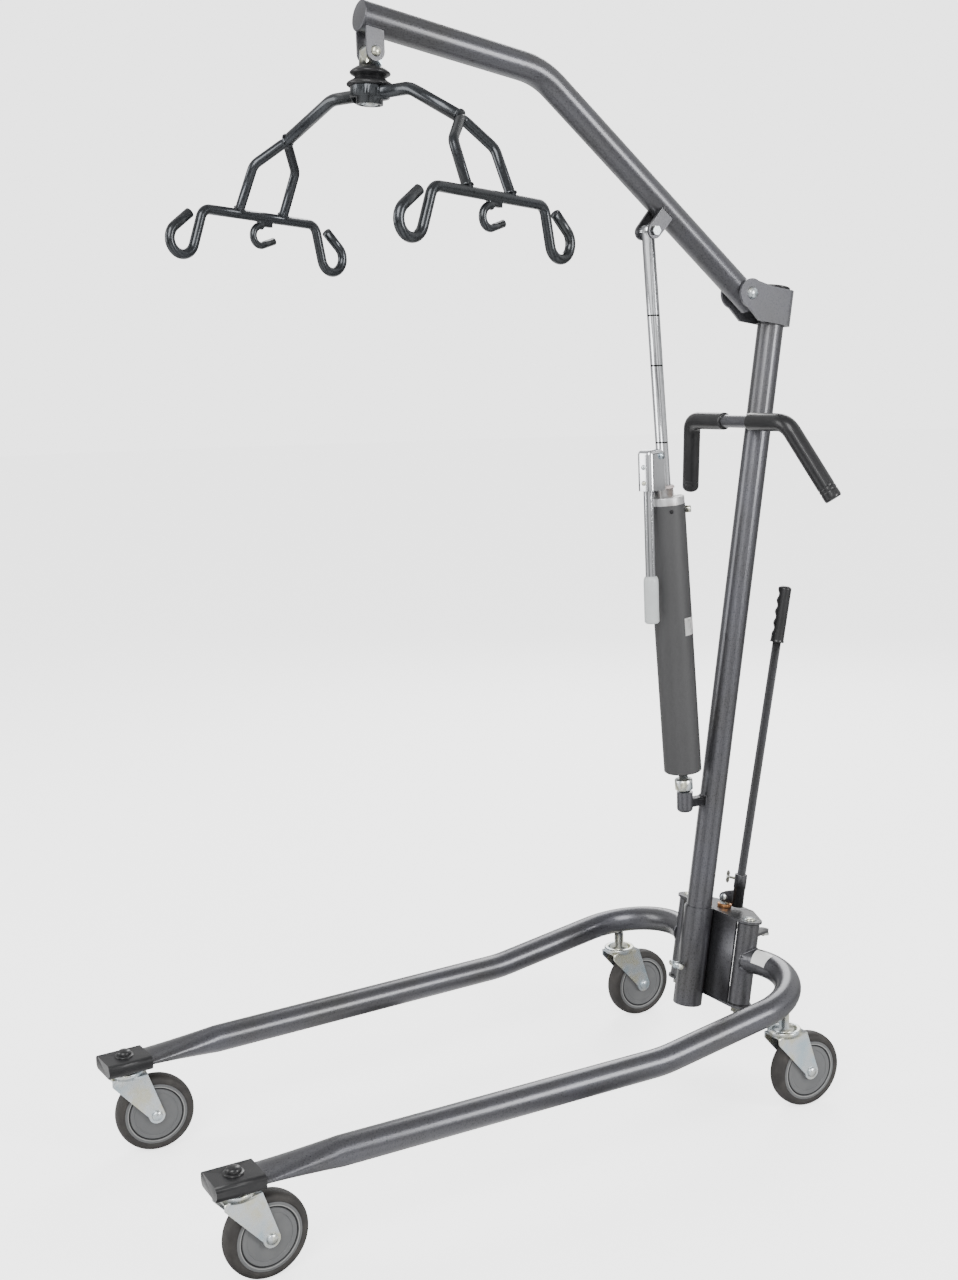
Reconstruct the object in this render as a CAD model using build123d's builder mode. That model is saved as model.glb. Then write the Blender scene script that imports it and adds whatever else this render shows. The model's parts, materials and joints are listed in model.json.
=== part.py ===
"""Patient lift hoist: a mobile floor lift with a manual hydraulic pump.

Millimetres, +Z up, resting on the floor at z = 0.  The open ends of the legs point along -Y and
the leg with x > 0 is the left one for a carer who stands behind the mast and looks along -Y.

Three working frames are used.  The hoist frame is the floor frame shifted so that the mast axis
meets the floor at its origin.  The mast frame leans back with the mast: its z runs up the mast
axis, its y points to the rear.  The pump frame follows the ram from its foot to its top pin.
"""
from build123d import *
from math import atan2, cos, degrees, hypot, radians, sin, tan
import os

os.makedirs("parts", exist_ok=True)

# ---------------------------------------------------------------- driving sizes
mast_foot_y = 361.775          # puts the middle of the whole hoist over the origin
mast_lean = 9.15             # degrees, towards the rear
tube_radius = 44.45 / 2      # mast, boom and legs are one size of tube
tube_wall = 2.0
weld_sink = 0.4              # how far a welded plate is notched round a tube
running_fit = 0.06           # radial clearance of pins that turn
loose_fit = 0.3              # clearance between curved faces of pieces that move
plug_fit = 0.1

# base socket and the bracket that carries both legs, heights along the mast
socket_radius = 25.5
socket_bottom = 114.0
socket_top = 292.0
socket_floor = 3.0
mast_top = 1371.0
bracket_bottom = 133.5
bracket_top = 288.2
plate = 4.0
pivot_x = 84.0
pivot_y = 46.4
pivot_tube_radius = 19.0
pivot_bolt_radius = 8.0
pivot_lug_rim = 22.5
seal_thickness = 2.3
seal_gap = 0.1
web_half_width = 75.0
bracket_tail_x = 31.0
bracket_tail_y = 84.0
bracket_tail_radius = 13.0
lock_height = 186.0

# legs and casters, in the hoist frame
wheel_radius = 63.5
wheel_width = 31.0
caster_trail = 41.8
front_caster = (234.5, -932.0)
rear_caster = (239.5, 38.0)
leg_height = 156.0
leg_front_y = -966.0
leg_flat_start_y = -893.0
leg_round_start_y = -775.0
leg_bend = (254.0, -222.0, 156.0)
leg_corner = (255.3, 143.8, 210.0)
leg_end = (83.9, 81.1, 206.9)
leg_bend_radius = 260.0
leg_corner_radius = 115.0
flat_half_width = 30.5
flat_half_height = 9.0
cap_wall = 2.2
cap_length = 72.0
crown_top = 137.0
fork_plate = 3.0
fork_gap = 2.5
axle_radius = 6.0
hub_radius = 50.2
fork_turns = {"front_left": 3.9, "front_right": -7.4, "rear_left": -3.3, "rear_right": -0.8}

# boom, in the side plane of the hoist: distance to the rear and height
boom_pivot = (146.4, 1346.9)
boom_bend = (-247.0, 1679.0)
boom_tip = (-550.0, 1736.0)
boom_bend_radius = 120.0
boom_tail = 23.0
boom_bolt_radius = 6.5
yoke_wall = 5.0
yoke_slot = tube_radius + 0.5
yoke_bottom = 1311.0
yoke_top = mast_top
yoke_rim = 24.0
mast_cap_radius = 25.5
mast_cap_thickness = 5.5

# spreader swivel, in a frame that hangs from the swivel bolt
swivel_bolt = (-533.5, 1686.0)
swivel_lean = 4.0            # degrees the hanger hangs forward of plumb
spreader_turn = 16.75        # degrees the spreader stands turned about its swivel
hub_drop = 56.0
arm_shoulder = 82.0
arm_fork_x = 183.0
arm_fork_drop = 106.5
strut_bend = (210.5, 41.5, 145.0)
strut_foot = (243.5, 43.5, 214.0)
arm_radius = 9.0
strut_radius = 7.5
hook_bar_half = 84.0
hook_bar_drop = 215.0
hook_radius = 7.6
middle_hook_radius = 5.7

# pump ram
pump_foot = (17.0, 486.0)
pump_pin = (-47.0, 1445.0)
pump_turn = 18.0             # degrees the pump stands turned about its own axis
barrel_radius = 32.5
barrel_bottom = 54.0
barrel_top = 519.0
rod_radius = 10.5
rod_eye_radius = 11.0
clevis_gap = 14.5
clevis_plate = 5.0
clevis_bolt_radius = 6.0
shank_gap = 0.3

# push handle on the mast, in the hoist frame
handle_y = 136.0
handle_z = 1134.3
handle_corner_x = 126.4
handle_tip = (190.2, 179.8, 1013.0)
handle_radius = 11.0
handle_bend_radius = 30.0
grip_radius = 15.0
grip_start = 34.0

# leg shifter
shifter_y = 57.7
shifter_turn = 25.0          # degrees from +X towards the rear
shifter_radius = 8.0
lever_offset = 25.0
lever_foot_radius = 10.2
lever_radius = 7.5
lever_tilt = 1.6             # degrees outwards
lever_top = 868.0
crank_radius = 8.74
crank_start = 35.0           # degrees, the left link's crank pin
link_pin_radius = 3.0
link_lug = (-14.0, 48.0)     # link pin from the left leg's pivot axis
link_levels = {"left": 256.0, "right": 250.0}
link_thickness = 4.0
link_width = 14.0

lean = radians(mast_lean)
hoist = Location((0, mast_foot_y, 0))
mast_frame = hoist * Location((0, 0, 0), (-mast_lean, 0, 0))


def save(piece, node, place):
    """Put a finished piece in its place on the hoist, label it and write it."""
    placed = piece.part.moved(place)
    placed.label = node
    export_step(placed, f"parts/{node}.step")


def side(point):
    """Point of the hoist's middle plane from its distance to the rear and its height."""
    return (0, point[0], point[1])


def mast_axis_y(height):
    """Distance to the rear of the mast axis at a height above the floor."""
    return height * tan(lean)


def from_mast(x, y, z):
    """Hoist-frame point from one given in the mast frame."""
    return (x, y * cos(lean) + z * sin(lean), z * cos(lean) - y * sin(lean))


# ---------------------------------------------------------------- mast and base socket
with BuildPart() as mast_tube:
    with BuildSketch(Plane.XY.offset(socket_bottom + socket_floor)):
        Circle(tube_radius)
        Circle(tube_radius - tube_wall, mode=Mode.SUBTRACT)
    extrude(amount=mast_top - socket_bottom - socket_floor)
save(mast_tube, "mast_tube", mast_frame)

with BuildPart() as mast_cap:
    with BuildSketch(Plane.XY.offset(mast_top)):
        Circle(mast_cap_radius)
    extrude(amount=mast_cap_thickness)
    fillet(mast_cap.edges().group_by(Axis.Z)[-1], radius=2.5)
    with BuildSketch(Plane.XY.offset(mast_top - 16)):
        Circle(tube_radius - tube_wall)
        Circle(tube_radius - tube_wall - 2.5, mode=Mode.SUBTRACT)
    extrude(amount=16)
save(mast_cap, "mast_cap", mast_frame)

with BuildPart() as base_socket:
    with BuildSketch(Plane.XY.offset(socket_bottom)):
        Circle(socket_radius)
    extrude(amount=socket_top - socket_bottom)
    fillet(base_socket.edges().group_by(Axis.Z)[0], radius=2)
    with BuildSketch(Plane.XY.offset(socket_bottom + socket_floor)):
        Circle(tube_radius)
    extrude(amount=socket_top, mode=Mode.SUBTRACT)
    with BuildSketch(Plane.XZ.offset(0)):
        with Locations((0, lock_height)):
            Circle(4)
    extrude(amount=socket_radius + 5, mode=Mode.SUBTRACT)
save(base_socket, "base_socket", mast_frame)

# winged screw that holds the mast down in its socket, entering from the front
with BuildPart() as mast_lock_screw:
    with BuildSketch(Plane.XZ.offset(tube_radius)):
        with Locations((0, lock_height)):
            Circle(4)
    extrude(amount=14)
    with BuildSketch(Plane.XZ.offset(tube_radius + 9)):
        with Locations((0, lock_height)):
            Circle(6)
    extrude(amount=8)
    with BuildSketch(Plane.XZ.offset(tube_radius + 11)):
        with Locations((-11, lock_height), (11, lock_height)):
            SlotOverall(17, 9)
    extrude(amount=3.5)
save(mast_lock_screw, "mast_lock_screw", mast_frame)

# ---------------------------------------------------------------- leg bracket
pivot_spots = [(-pivot_x, pivot_y), (pivot_x, pivot_y)]
with BuildPart() as base_bracket:
    for flange_bottom in (bracket_bottom, bracket_top - plate):
        with BuildSketch(Plane.XY.offset(flange_bottom)) as flange:
            with Locations(*pivot_spots):
                Circle(pivot_lug_rim)
            with Locations((-bracket_tail_x, bracket_tail_y), (bracket_tail_x, bracket_tail_y)):
                Circle(bracket_tail_radius)
            make_hull()
            with Locations(*pivot_spots):
                Circle(pivot_bolt_radius, mode=Mode.SUBTRACT)
        extrude(amount=plate)
    web_y = socket_radius - weld_sink * 2
    with BuildSketch(Plane.XY.offset(bracket_bottom)):
        with Locations((0, web_y + plate / 2)):
            Rectangle(2 * web_half_width, plate)
    extrude(amount=bracket_top - bracket_bottom)
    with BuildSketch(Plane.XY.offset(bracket_bottom)):
        Circle(socket_radius)
    extrude(amount=bracket_top, mode=Mode.SUBTRACT)
    with BuildSketch(Plane.XY.offset(bracket_top - 2 * plate)):
        with Locations((0, shifter_y)):
            Circle(shifter_radius + 3)
    extrude(amount=3 * plate, mode=Mode.SUBTRACT)
save(base_bracket, "base_bracket", mast_frame)

pivot_tube_bottom = bracket_bottom + plate + seal_thickness + 2 * seal_gap
pivot_tube_top = bracket_top - plate - seal_thickness - 2 * seal_gap

with BuildPart() as pivot_bolts:
    with BuildSketch(Plane.XY.offset(bracket_bottom - 14)):
        with Locations(*pivot_spots):
            Circle(pivot_bolt_radius)
    extrude(amount=bracket_top - bracket_bottom + 14)
    with BuildSketch(Plane.XY.offset(bracket_top)):
        with Locations(*pivot_spots):
            Circle(pivot_bolt_radius + 4)
    extrude(amount=3, taper=35)
    with BuildSketch(Plane.XY.offset(bracket_bottom - 11)):
        with Locations(*pivot_spots):
            RegularPolygon(pivot_bolt_radius * 1.6, 6)
    extrude(amount=9)
    with BuildSketch(Plane.XY.offset(bracket_bottom - 2)):
        with Locations(*pivot_spots):
            Circle(pivot_bolt_radius * 1.9)
    extrude(amount=2)
save(pivot_bolts, "pivot_bolts", mast_frame)

with BuildPart() as pivot_seals:
    for seal_bottom in (bracket_bottom + plate, bracket_top - plate - seal_thickness):
        with BuildSketch(Plane.XY.offset(seal_bottom)):
            with Locations(*pivot_spots):
                Circle(pivot_tube_radius)
                Circle(pivot_bolt_radius, mode=Mode.SUBTRACT)
        extrude(amount=seal_thickness)
save(pivot_seals, "pivot_seals", mast_frame)

with BuildPart() as shifter_bush:
    with BuildSketch(Plane.XY.offset(bracket_top - plate)):
        with Locations((0, shifter_y)):
            Circle(shifter_radius + 3)
    extrude(amount=plate)
    with BuildSketch(Plane.XY.offset(bracket_top)):
        with Locations((0, shifter_y)):
            Circle(shifter_radius + 4.5)
    extrude(amount=6)
    with BuildSketch(Plane.XY.offset(bracket_top - 2 * plate)):
        with Locations((0, shifter_y)):
            Circle(shifter_radius + running_fit)
    extrude(amount=6 * plate, mode=Mode.SUBTRACT)
save(shifter_bush, "shifter_bush", mast_frame)

# ---------------------------------------------------------------- boom yoke on the mast head
pivot_mast_y = (boom_pivot[0] * cos(lean) - boom_pivot[1] * sin(lean))
pivot_mast_z = (boom_pivot[0] * sin(lean) + boom_pivot[1] * cos(lean))
yoke_outer = yoke_slot + yoke_wall

with BuildPart() as boom_yoke:
    with BuildSketch(Plane.YZ.offset(-yoke_outer)):
        with BuildLine():
            Polyline((pivot_mast_y, pivot_mast_z + yoke_rim - 1), (-28, yoke_top), (yoke_outer, yoke_top),
                     (yoke_outer, yoke_bottom), (-48, yoke_bottom),
                     (pivot_mast_y - 6, pivot_mast_z - yoke_rim + 2), (pivot_mast_y - 6, pivot_mast_z),
                     close=True)
        make_face()
        with Locations((pivot_mast_y, pivot_mast_z)):
            Circle(yoke_rim)
    extrude(amount=2 * yoke_outer)
    with BuildSketch(Plane.XY.offset(yoke_bottom - 60)):
        with Locations((0, (pivot_mast_y - 2 * yoke_rim) / 2 - tube_radius * 0.2)):
            Rectangle(2 * yoke_slot, -pivot_mast_y + 2 * yoke_rim - tube_radius * 0.4)
        Circle(tube_radius)
    extrude(amount=200, mode=Mode.SUBTRACT)
    fillet(boom_yoke.edges().filter_by(Axis.Z).group_by(Axis.Y)[-1], radius=yoke_outer * 0.6)
    with BuildSketch(Plane.YZ.offset(-yoke_outer - 1)):
        with Locations((pivot_mast_y, pivot_mast_z)):
            Circle(boom_bolt_radius)
    extrude(amount=2 * yoke_outer + 2, mode=Mode.SUBTRACT)
save(boom_yoke, "boom_yoke", mast_frame)

with BuildPart() as boom_pivot_bolt:
    with BuildSketch(Plane.YZ.offset(-yoke_outer - 9)):
        with Locations((pivot_mast_y, pivot_mast_z)):
            Circle(boom_bolt_radius)
    extrude(amount=2 * yoke_outer + 9)
    with BuildSketch(Plane.YZ.offset(yoke_outer)):
        with Locations((pivot_mast_y, pivot_mast_z)):
            Circle(boom_bolt_radius + 4)
    extrude(amount=5, taper=30)
    with BuildSketch(Plane.YZ.offset(-yoke_outer - 7)):
        with Locations((pivot_mast_y, pivot_mast_z)):
            RegularPolygon(boom_bolt_radius * 1.6, 6)
    extrude(amount=7)
save(boom_pivot_bolt, "boom_pivot_bolt", mast_frame)

# ---------------------------------------------------------------- push handle and pump seat
handle_tips = [(sign * handle_tip[0], handle_tip[1], handle_tip[2]) for sign in (-1, 1)]
handle_corners = [(sign * handle_corner_x, handle_y, handle_z) for sign in (-1, 1)]
with BuildPart() as handle_bar:
    with BuildLine() as handle_path:
        FilletPolyline(handle_tips[0], handle_corners[0], handle_corners[1], handle_tips[1],
                       radius=handle_bend_radius)
    with BuildSketch(Plane(handle_path.line @ 0, z_dir=handle_path.line % 0)):
        Circle(handle_radius)
    sweep()
    with BuildSketch(Plane.XZ.offset(-handle_y)):
        with Locations((0, handle_z)):
            Circle(handle_radius - 1)
    extrude(amount=-(mast_axis_y(handle_z) - handle_y))
    with BuildSketch(Plane((0, 0, 0), z_dir=(0, sin(lean), cos(lean)))):
        Circle(tube_radius)
    extrude(amount=mast_top, mode=Mode.SUBTRACT)
save(handle_bar, "handle_bar", hoist)

for hand, sign in (("left", 1), ("right", -1)):
    with BuildPart() as handle_grip:
        with BuildLine() as grip_path:
            FilletPolyline((sign * grip_start, handle_y, handle_z),
                           (sign * handle_corner_x, handle_y, handle_z),
                           (sign * handle_tip[0], handle_tip[1], handle_tip[2]),
                           radius=handle_bend_radius)
        with BuildSketch(Plane(grip_path.line @ 0, z_dir=grip_path.line % 0)):
            Circle(grip_radius)
            Circle(handle_radius, mode=Mode.SUBTRACT)
        sweep()
        with BuildSketch(Plane(grip_path.line @ 1, z_dir=grip_path.line % 1)):
            Circle(grip_radius)
        extrude(amount=4, taper=35)
    save(handle_grip, f"handle_grip_{hand}", hoist)

pump_tilt = degrees(atan2(pump_foot[0] - pump_pin[0], pump_pin[1] - pump_foot[1]))
ram_length = hypot(pump_foot[0] - pump_pin[0], pump_pin[1] - pump_foot[1])
pump_frame = hoist * Location(side(pump_foot), (pump_tilt, 0, 0))

# cup on the mast that the pump's ball foot stands in
cup_outer = 14.0
ball_radius = 9.5
with BuildPart() as pump_seat:
    with BuildSketch(Plane.XY.offset(pump_foot[1] - 20)):
        with Locations((0, pump_foot[0])):
            Circle(cup_outer)
    extrude(amount=36)
    fillet(pump_seat.edges().group_by(Axis.Z)[0], radius=7)
    seat_reach = mast_axis_y(pump_foot[1]) - pump_foot[0]
    with BuildSketch(Plane.XY.offset(pump_foot[1] - 12)):
        with Locations((0, pump_foot[0] + seat_reach / 2)):
            Rectangle(18, seat_reach)
    extrude(amount=14)
    with Locations(side(pump_foot)):
        Sphere(ball_radius + loose_fit, mode=Mode.SUBTRACT)
    with BuildSketch(Plane.XY.offset(pump_foot[1])):
        with Locations((0, pump_foot[0])):
            Circle(ball_radius + loose_fit)
    extrude(amount=20, mode=Mode.SUBTRACT)
    with BuildSketch(Plane((0, 0, 0), z_dir=(0, sin(lean), cos(lean)))):
        Circle(tube_radius)
    extrude(amount=mast_top, mode=Mode.SUBTRACT)
save(pump_seat, "pump_seat", hoist)

# ---------------------------------------------------------------- legs
leg_line = Vector(leg_bend[0] - front_caster[0], leg_bend[1] - front_caster[1], 0).normalized()


def leg_point(y):
    """Point of the left leg's straight front run at a distance to the rear."""
    run = (y - front_caster[1]) / leg_line.Y
    return (front_caster[0] + run * leg_line.X, y, leg_height)


def leg_section(y, half_width, half_height, side_sign):
    """Oval section of a leg across its front run."""
    x, _, z = leg_point(y)
    section_plane = Plane((side_sign * x, y, z), x_dir=(leg_line.Y, -side_sign * leg_line.X, 0),
                          z_dir=(side_sign * leg_line.X, leg_line.Y, 0))
    with BuildSketch(section_plane) as section:
        Ellipse(half_width, half_height)
    return section.sketch


pivot_foot = from_mast(pivot_x, pivot_y, pivot_tube_bottom)
stem_hole = 6.2

for hand, sign in (("left", 1), ("right", -1)):
    with BuildPart() as leg:
        for shrink, mode in ((0, Mode.ADD), (tube_wall, Mode.SUBTRACT)):
            with BuildLine() as leg_path:
                x, y, z = leg_point(leg_round_start_y)
                FilletPolyline((sign * x, y, z), (sign * leg_bend[0], leg_bend[1], leg_bend[2]),
                               (sign * leg_corner[0], leg_corner[1], leg_corner[2]),
                               (sign * leg_end[0], leg_end[1], leg_end[2]),
                               radius=[leg_bend_radius, leg_corner_radius])
            with BuildSketch(Plane(leg_path.line @ 0, z_dir=leg_path.line % 0)):
                Circle(tube_radius - shrink)
            sweep(mode=mode)
            round_end = leg_section(leg_round_start_y, tube_radius - shrink, tube_radius - shrink, sign)
            middle = leg_section((leg_round_start_y + leg_flat_start_y) / 2, flat_half_width - 4 - shrink,
                                 (flat_half_height + tube_radius) / 2 - shrink, sign)
            flat_end = leg_section(leg_flat_start_y, flat_half_width - shrink,
                                   flat_half_height - shrink, sign)
            loft(sections=[round_end, middle, flat_end], mode=mode)
            extrude(flat_end, amount=leg_front_y - leg_flat_start_y, mode=mode)
        with BuildSketch(Plane((sign * pivot_foot[0], pivot_foot[1], pivot_foot[2]),
                               z_dir=(0, sin(lean), cos(lean)))):
            Circle(pivot_tube_radius)
        extrude(amount=pivot_tube_top - pivot_tube_bottom, mode=Mode.SUBTRACT)
        with BuildSketch(Plane.XY.offset(leg_height - tube_radius)):
            with Locations((sign * front_caster[0], front_caster[1])):
                Circle(stem_hole)
        extrude(amount=2 * tube_radius, mode=Mode.SUBTRACT)
        with BuildSketch(Plane.XY.offset(leg_height - tube_radius)):
            with Locations((sign * rear_caster[0], rear_caster[1])):
                Circle(stem_hole)
        extrude(amount=2.2 * tube_radius, mode=Mode.SUBTRACT)
    save(leg, f"leg_{hand}", hoist)

    with BuildPart() as leg_pivot:
        tube_length = pivot_tube_top - pivot_tube_bottom
        with BuildSketch(Plane.XY.offset(pivot_tube_bottom)):
            with Locations((sign * pivot_x, pivot_y)):
                Circle(pivot_tube_radius)
                Circle(pivot_bolt_radius + running_fit, mode=Mode.SUBTRACT)
        extrude(amount=tube_length)
        with BuildSketch(Plane.XY.offset(pivot_tube_bottom + 25)):
            with Locations((sign * pivot_x, pivot_y)):
                Circle(pivot_tube_radius - 3.5)
        extrude(amount=tube_length - 50, mode=Mode.SUBTRACT)
        lug_level = link_levels[hand] + link_thickness + 1
        lug_spot = (sign * (pivot_x + link_lug[0]), pivot_y + link_lug[1])
        with BuildSketch(Plane.XY.offset(lug_level)):
            with Locations((sign * pivot_x, pivot_y)):
                Circle(pivot_tube_radius)
            with Locations(lug_spot):
                Circle(9)
            make_hull()
            with Locations((sign * pivot_x, pivot_y)):
                Circle(pivot_tube_radius - 1, mode=Mode.SUBTRACT)
        extrude(amount=5)
        with BuildSketch(Plane.XY.offset(link_levels[hand] - 3)):
            with Locations(lug_spot):
                Circle(link_pin_radius)
        extrude(amount=link_thickness + 6)
    save(leg_pivot, f"leg_pivot_{hand}", mast_frame)

    cap_plane_y = leg_front_y - cap_wall
    with BuildPart() as leg_cap:
        x, y, z = leg_point(cap_plane_y)
        cap_plane = Plane((sign * x, y, z), x_dir=(leg_line.Y, -sign * leg_line.X, 0),
                          z_dir=(sign * leg_line.X, leg_line.Y, 0))
        with BuildSketch(cap_plane):
            RectangleRounded(2 * (flat_half_width + cap_wall), 2 * (flat_half_height + cap_wall), 8)
        extrude(amount=cap_length)
        with BuildSketch(cap_plane.offset(cap_wall)):
            Ellipse(flat_half_width, flat_half_height)
        extrude(amount=cap_length, mode=Mode.SUBTRACT)
        with BuildSketch(Plane.XY.offset(leg_height - tube_radius)):
            with Locations((sign * front_caster[0], front_caster[1])):
                Circle(stem_hole)
        extrude(amount=2 * tube_radius, mode=Mode.SUBTRACT)
    save(leg_cap, f"leg_cap_{hand}", hoist)

# ---------------------------------------------------------------- casters
axle_drop = (0, caster_trail, wheel_radius)
fork_inner = wheel_width / 2 + fork_gap
fork_outer = fork_inner + fork_plate
cup_bottom = crown_top + 0.4
flat_bottom = leg_height - flat_half_height - cap_wall
spots = {
    "front_left": front_caster, "front_right": (-front_caster[0], front_caster[1]),
    "rear_left": rear_caster, "rear_right": (-rear_caster[0], rear_caster[1]),
}

for hand in ("left", "right"):
    with BuildPart() as stems:
        rear_top = leg_height + tube_radius + 22
        tops = {"front": leg_height + flat_half_height + cap_wall, "rear": rear_top}
        collars = {"front": flat_bottom, "rear": leg_height + 14.5}
        for end in ("front", "rear"):
            spot = spots[f"{end}_{hand}"]
            with BuildSketch(Plane.XY.offset(cup_bottom)):
                with Locations(spot):
                    Circle(19)
            extrude(amount=7, taper=20)
            with BuildSketch(Plane.XY.offset(crown_top - 10)):
                with Locations(spot):
                    Circle(6)
            extrude(amount=tops[end] - crown_top + 10)
            with BuildSketch(Plane.XY.offset(crown_top - 12)):
                with Locations(spot):
                    Circle(9.5)
            extrude(amount=6)
            with BuildSketch(Plane.XY.offset(cup_bottom + 6)):
                with Locations(spot):
                    Circle(8.5)
            extrude(amount=collars[end] - cup_bottom - 6)
    save(stems, f"caster_stems_{hand}", hoist)

for spot_name, spot in spots.items():
    caster_frame = hoist * Location((spot[0], spot[1], 0), (0, 0, fork_turns[spot_name]))
    with BuildPart() as fork:
        with BuildSketch(Plane.XY.offset(crown_top - fork_plate)):
            Circle(27)
            with Locations((0, 15)):
                Rectangle(2 * fork_outer, 34)
            make_hull()
        extrude(amount=fork_plate)
        with BuildSketch(Plane.XY.offset(crown_top)):
            Circle(28)
            Circle(20, mode=Mode.SUBTRACT)
        extrude(amount=7)
        fillet(fork.edges().group_by(Axis.Z)[-1], radius=2.5)
        with BuildSketch(Plane.YZ.offset(-fork_outer)):
            with BuildLine():
                Polyline((-25, crown_top - 1), (-25, crown_top - 12), (axle_drop[1] - 12, axle_drop[2] - 2),
                         (axle_drop[1] + 12.6, axle_drop[2] + 3), (32, crown_top - 1), (-25, crown_top - 1))
            make_face()
            with Locations((axle_drop[1], axle_drop[2])):
                Circle(13)
        extrude(amount=2 * fork_outer)
        with BuildSketch(Plane.XY):
            with Locations((0, 20)):
                Rectangle(2 * fork_inner, 140)
        extrude(amount=crown_top - fork_plate, mode=Mode.SUBTRACT)
        with BuildSketch(Plane.XY.offset(crown_top - fork_plate)):
            Circle(6 + loose_fit)
        extrude(amount=20, mode=Mode.SUBTRACT)
        with BuildSketch(Plane.YZ.offset(-fork_outer)):
            with Locations((axle_drop[1], axle_drop[2])):
                Circle(axle_radius)
        extrude(amount=2 * fork_outer, mode=Mode.SUBTRACT)
    save(fork, f"fork_{spot_name}", caster_frame)

    with BuildPart() as axle:
        with BuildSketch(Plane.YZ.offset(-fork_outer - 6)):
            with Locations((axle_drop[1], axle_drop[2])):
                Circle(axle_radius)
        extrude(amount=2 * fork_outer + 6)
        with BuildSketch(Plane.YZ.offset(fork_outer)):
            with Locations((axle_drop[1], axle_drop[2])):
                Circle(axle_radius + 3)
        extrude(amount=3.5, taper=25)
        with BuildSketch(Plane.YZ.offset(-fork_outer - 5)):
            with Locations((axle_drop[1], axle_drop[2])):
                RegularPolygon(axle_radius * 1.6, 6)
        extrude(amount=5)
    save(axle, f"axle_{spot_name}", caster_frame)

    wheel_frame = caster_frame * Location(axle_drop, (0, 90, 0))
    half = wheel_width / 2
    with BuildPart() as hub:
        with BuildSketch(Plane.XZ):
            with BuildLine():
                Polyline((axle_radius + running_fit, -fork_inner + 0.4), (14, -fork_inner + 0.4),
                         (14, -half + 3), (hub_radius - 6, -half + 2), (hub_radius - 2, -half),
                         (hub_radius, -half), (hub_radius, half), (hub_radius - 2, half),
                         (hub_radius - 6, half - 2), (14, half - 3), (14, fork_inner - 0.4),
                         (axle_radius + running_fit, fork_inner - 0.4), close=True)
            make_face()
        revolve(axis=Axis.Z)
    save(hub, f"hub_{spot_name}", wheel_frame)

    with BuildPart() as tyre:
        with BuildSketch(Plane.XZ):
            with BuildLine():
                Line((hub_radius, -half), (wheel_radius - 4, -half))
                ThreePointArc((wheel_radius - 4, -half), (wheel_radius, 0), (wheel_radius - 4, half))
                Polyline((wheel_radius - 4, half), (hub_radius, half), (hub_radius, -half))
            make_face()
        revolve(axis=Axis.Z)
    save(tyre, f"tyre_{spot_name}", wheel_frame)

# ---------------------------------------------------------------- boom
boom_run = Vector(boom_pivot[0] - boom_bend[0], boom_pivot[1] - boom_bend[1]).normalized()
boom_angle = degrees(atan2(boom_run.Y, boom_run.X))
boom_end = (boom_pivot[0] + boom_tail * boom_run.X, boom_pivot[1] + boom_tail * boom_run.Y)

with BuildPart() as boom_tube:
    with BuildLine() as boom_path:
        FilletPolyline(side(boom_end), side(boom_bend), side(boom_tip), radius=boom_bend_radius)
    with BuildSketch(Plane(boom_path.line @ 0, z_dir=boom_path.line % 0)):
        Circle(tube_radius)
        Circle(tube_radius - tube_wall, mode=Mode.SUBTRACT)
    sweep()
    with BuildSketch(Plane(boom_path.line @ 1, z_dir=boom_path.line % 1)):
        Circle(tube_radius)
    extrude(amount=-5)
    fillet(boom_tube.edges().filter_by(GeomType.CIRCLE).sort_by(Axis.Y)[0], radius=1.5)
    with BuildSketch(Plane.YZ.offset(-tube_radius)):
        with Locations(boom_pivot):
            Circle(boom_bolt_radius + running_fit)
    extrude(amount=2 * tube_radius, mode=Mode.SUBTRACT)
save(boom_tube, "boom_tube", hoist)

with BuildPart() as pump_clevis:
    for inner in (-clevis_gap - clevis_plate, clevis_gap):
        with BuildSketch(Plane.YZ.offset(inner)):
            with Locations(pump_pin):
                Circle(12.5)
            with Locations(Location((pump_pin[0], pump_pin[1], 0), (0, 0, boom_angle))):
                with Locations((1, 30)):
                    Rectangle(26, 16)
            make_hull()
            with Locations(pump_pin):
                Circle(clevis_bolt_radius, mode=Mode.SUBTRACT)
        extrude(amount=clevis_plate)
    with BuildSketch(Plane(side(boom_end), z_dir=side((-boom_run.X, -boom_run.Y)))):
        Circle(tube_radius)
    extrude(amount=600, mode=Mode.SUBTRACT)
save(pump_clevis, "pump_clevis", hoist)

with BuildPart() as clevis_bolt:
    clevis_outer = clevis_gap + clevis_plate
    for start, head in ((clevis_gap, clevis_outer), (-clevis_outer, -clevis_outer - 6)):
        with BuildSketch(Plane.YZ.offset(start)):
            with Locations(pump_pin):
                Circle(clevis_bolt_radius)
        extrude(amount=clevis_plate)
        with BuildSketch(Plane.YZ.offset(head)):
            with Locations(pump_pin):
                RegularPolygon(clevis_bolt_radius * 1.3, 6)
        extrude(amount=6)
save(clevis_bolt, "clevis_bolt", hoist)

lug_gap = 13.5
lug_plate = 4.0
swivel_bolt_radius = 5.0
with BuildPart() as hanger_lugs:
    for inner in (-lug_gap - lug_plate, lug_gap):
        with BuildSketch(Plane.YZ.offset(inner)):
            with Locations(swivel_bolt):
                Circle(14)
            with Locations((swivel_bolt[0], swivel_bolt[1] + 24)):
                Rectangle(28, 24)
            make_hull()
            with Locations(swivel_bolt):
                Circle(swivel_bolt_radius, mode=Mode.SUBTRACT)
        extrude(amount=lug_plate)
    with BuildSketch(Plane(boom_path.line @ 1, z_dir=-(boom_path.line % 1))):
        Circle(tube_radius)
    extrude(amount=150, mode=Mode.SUBTRACT)
save(hanger_lugs, "hanger_lugs", hoist)

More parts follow.
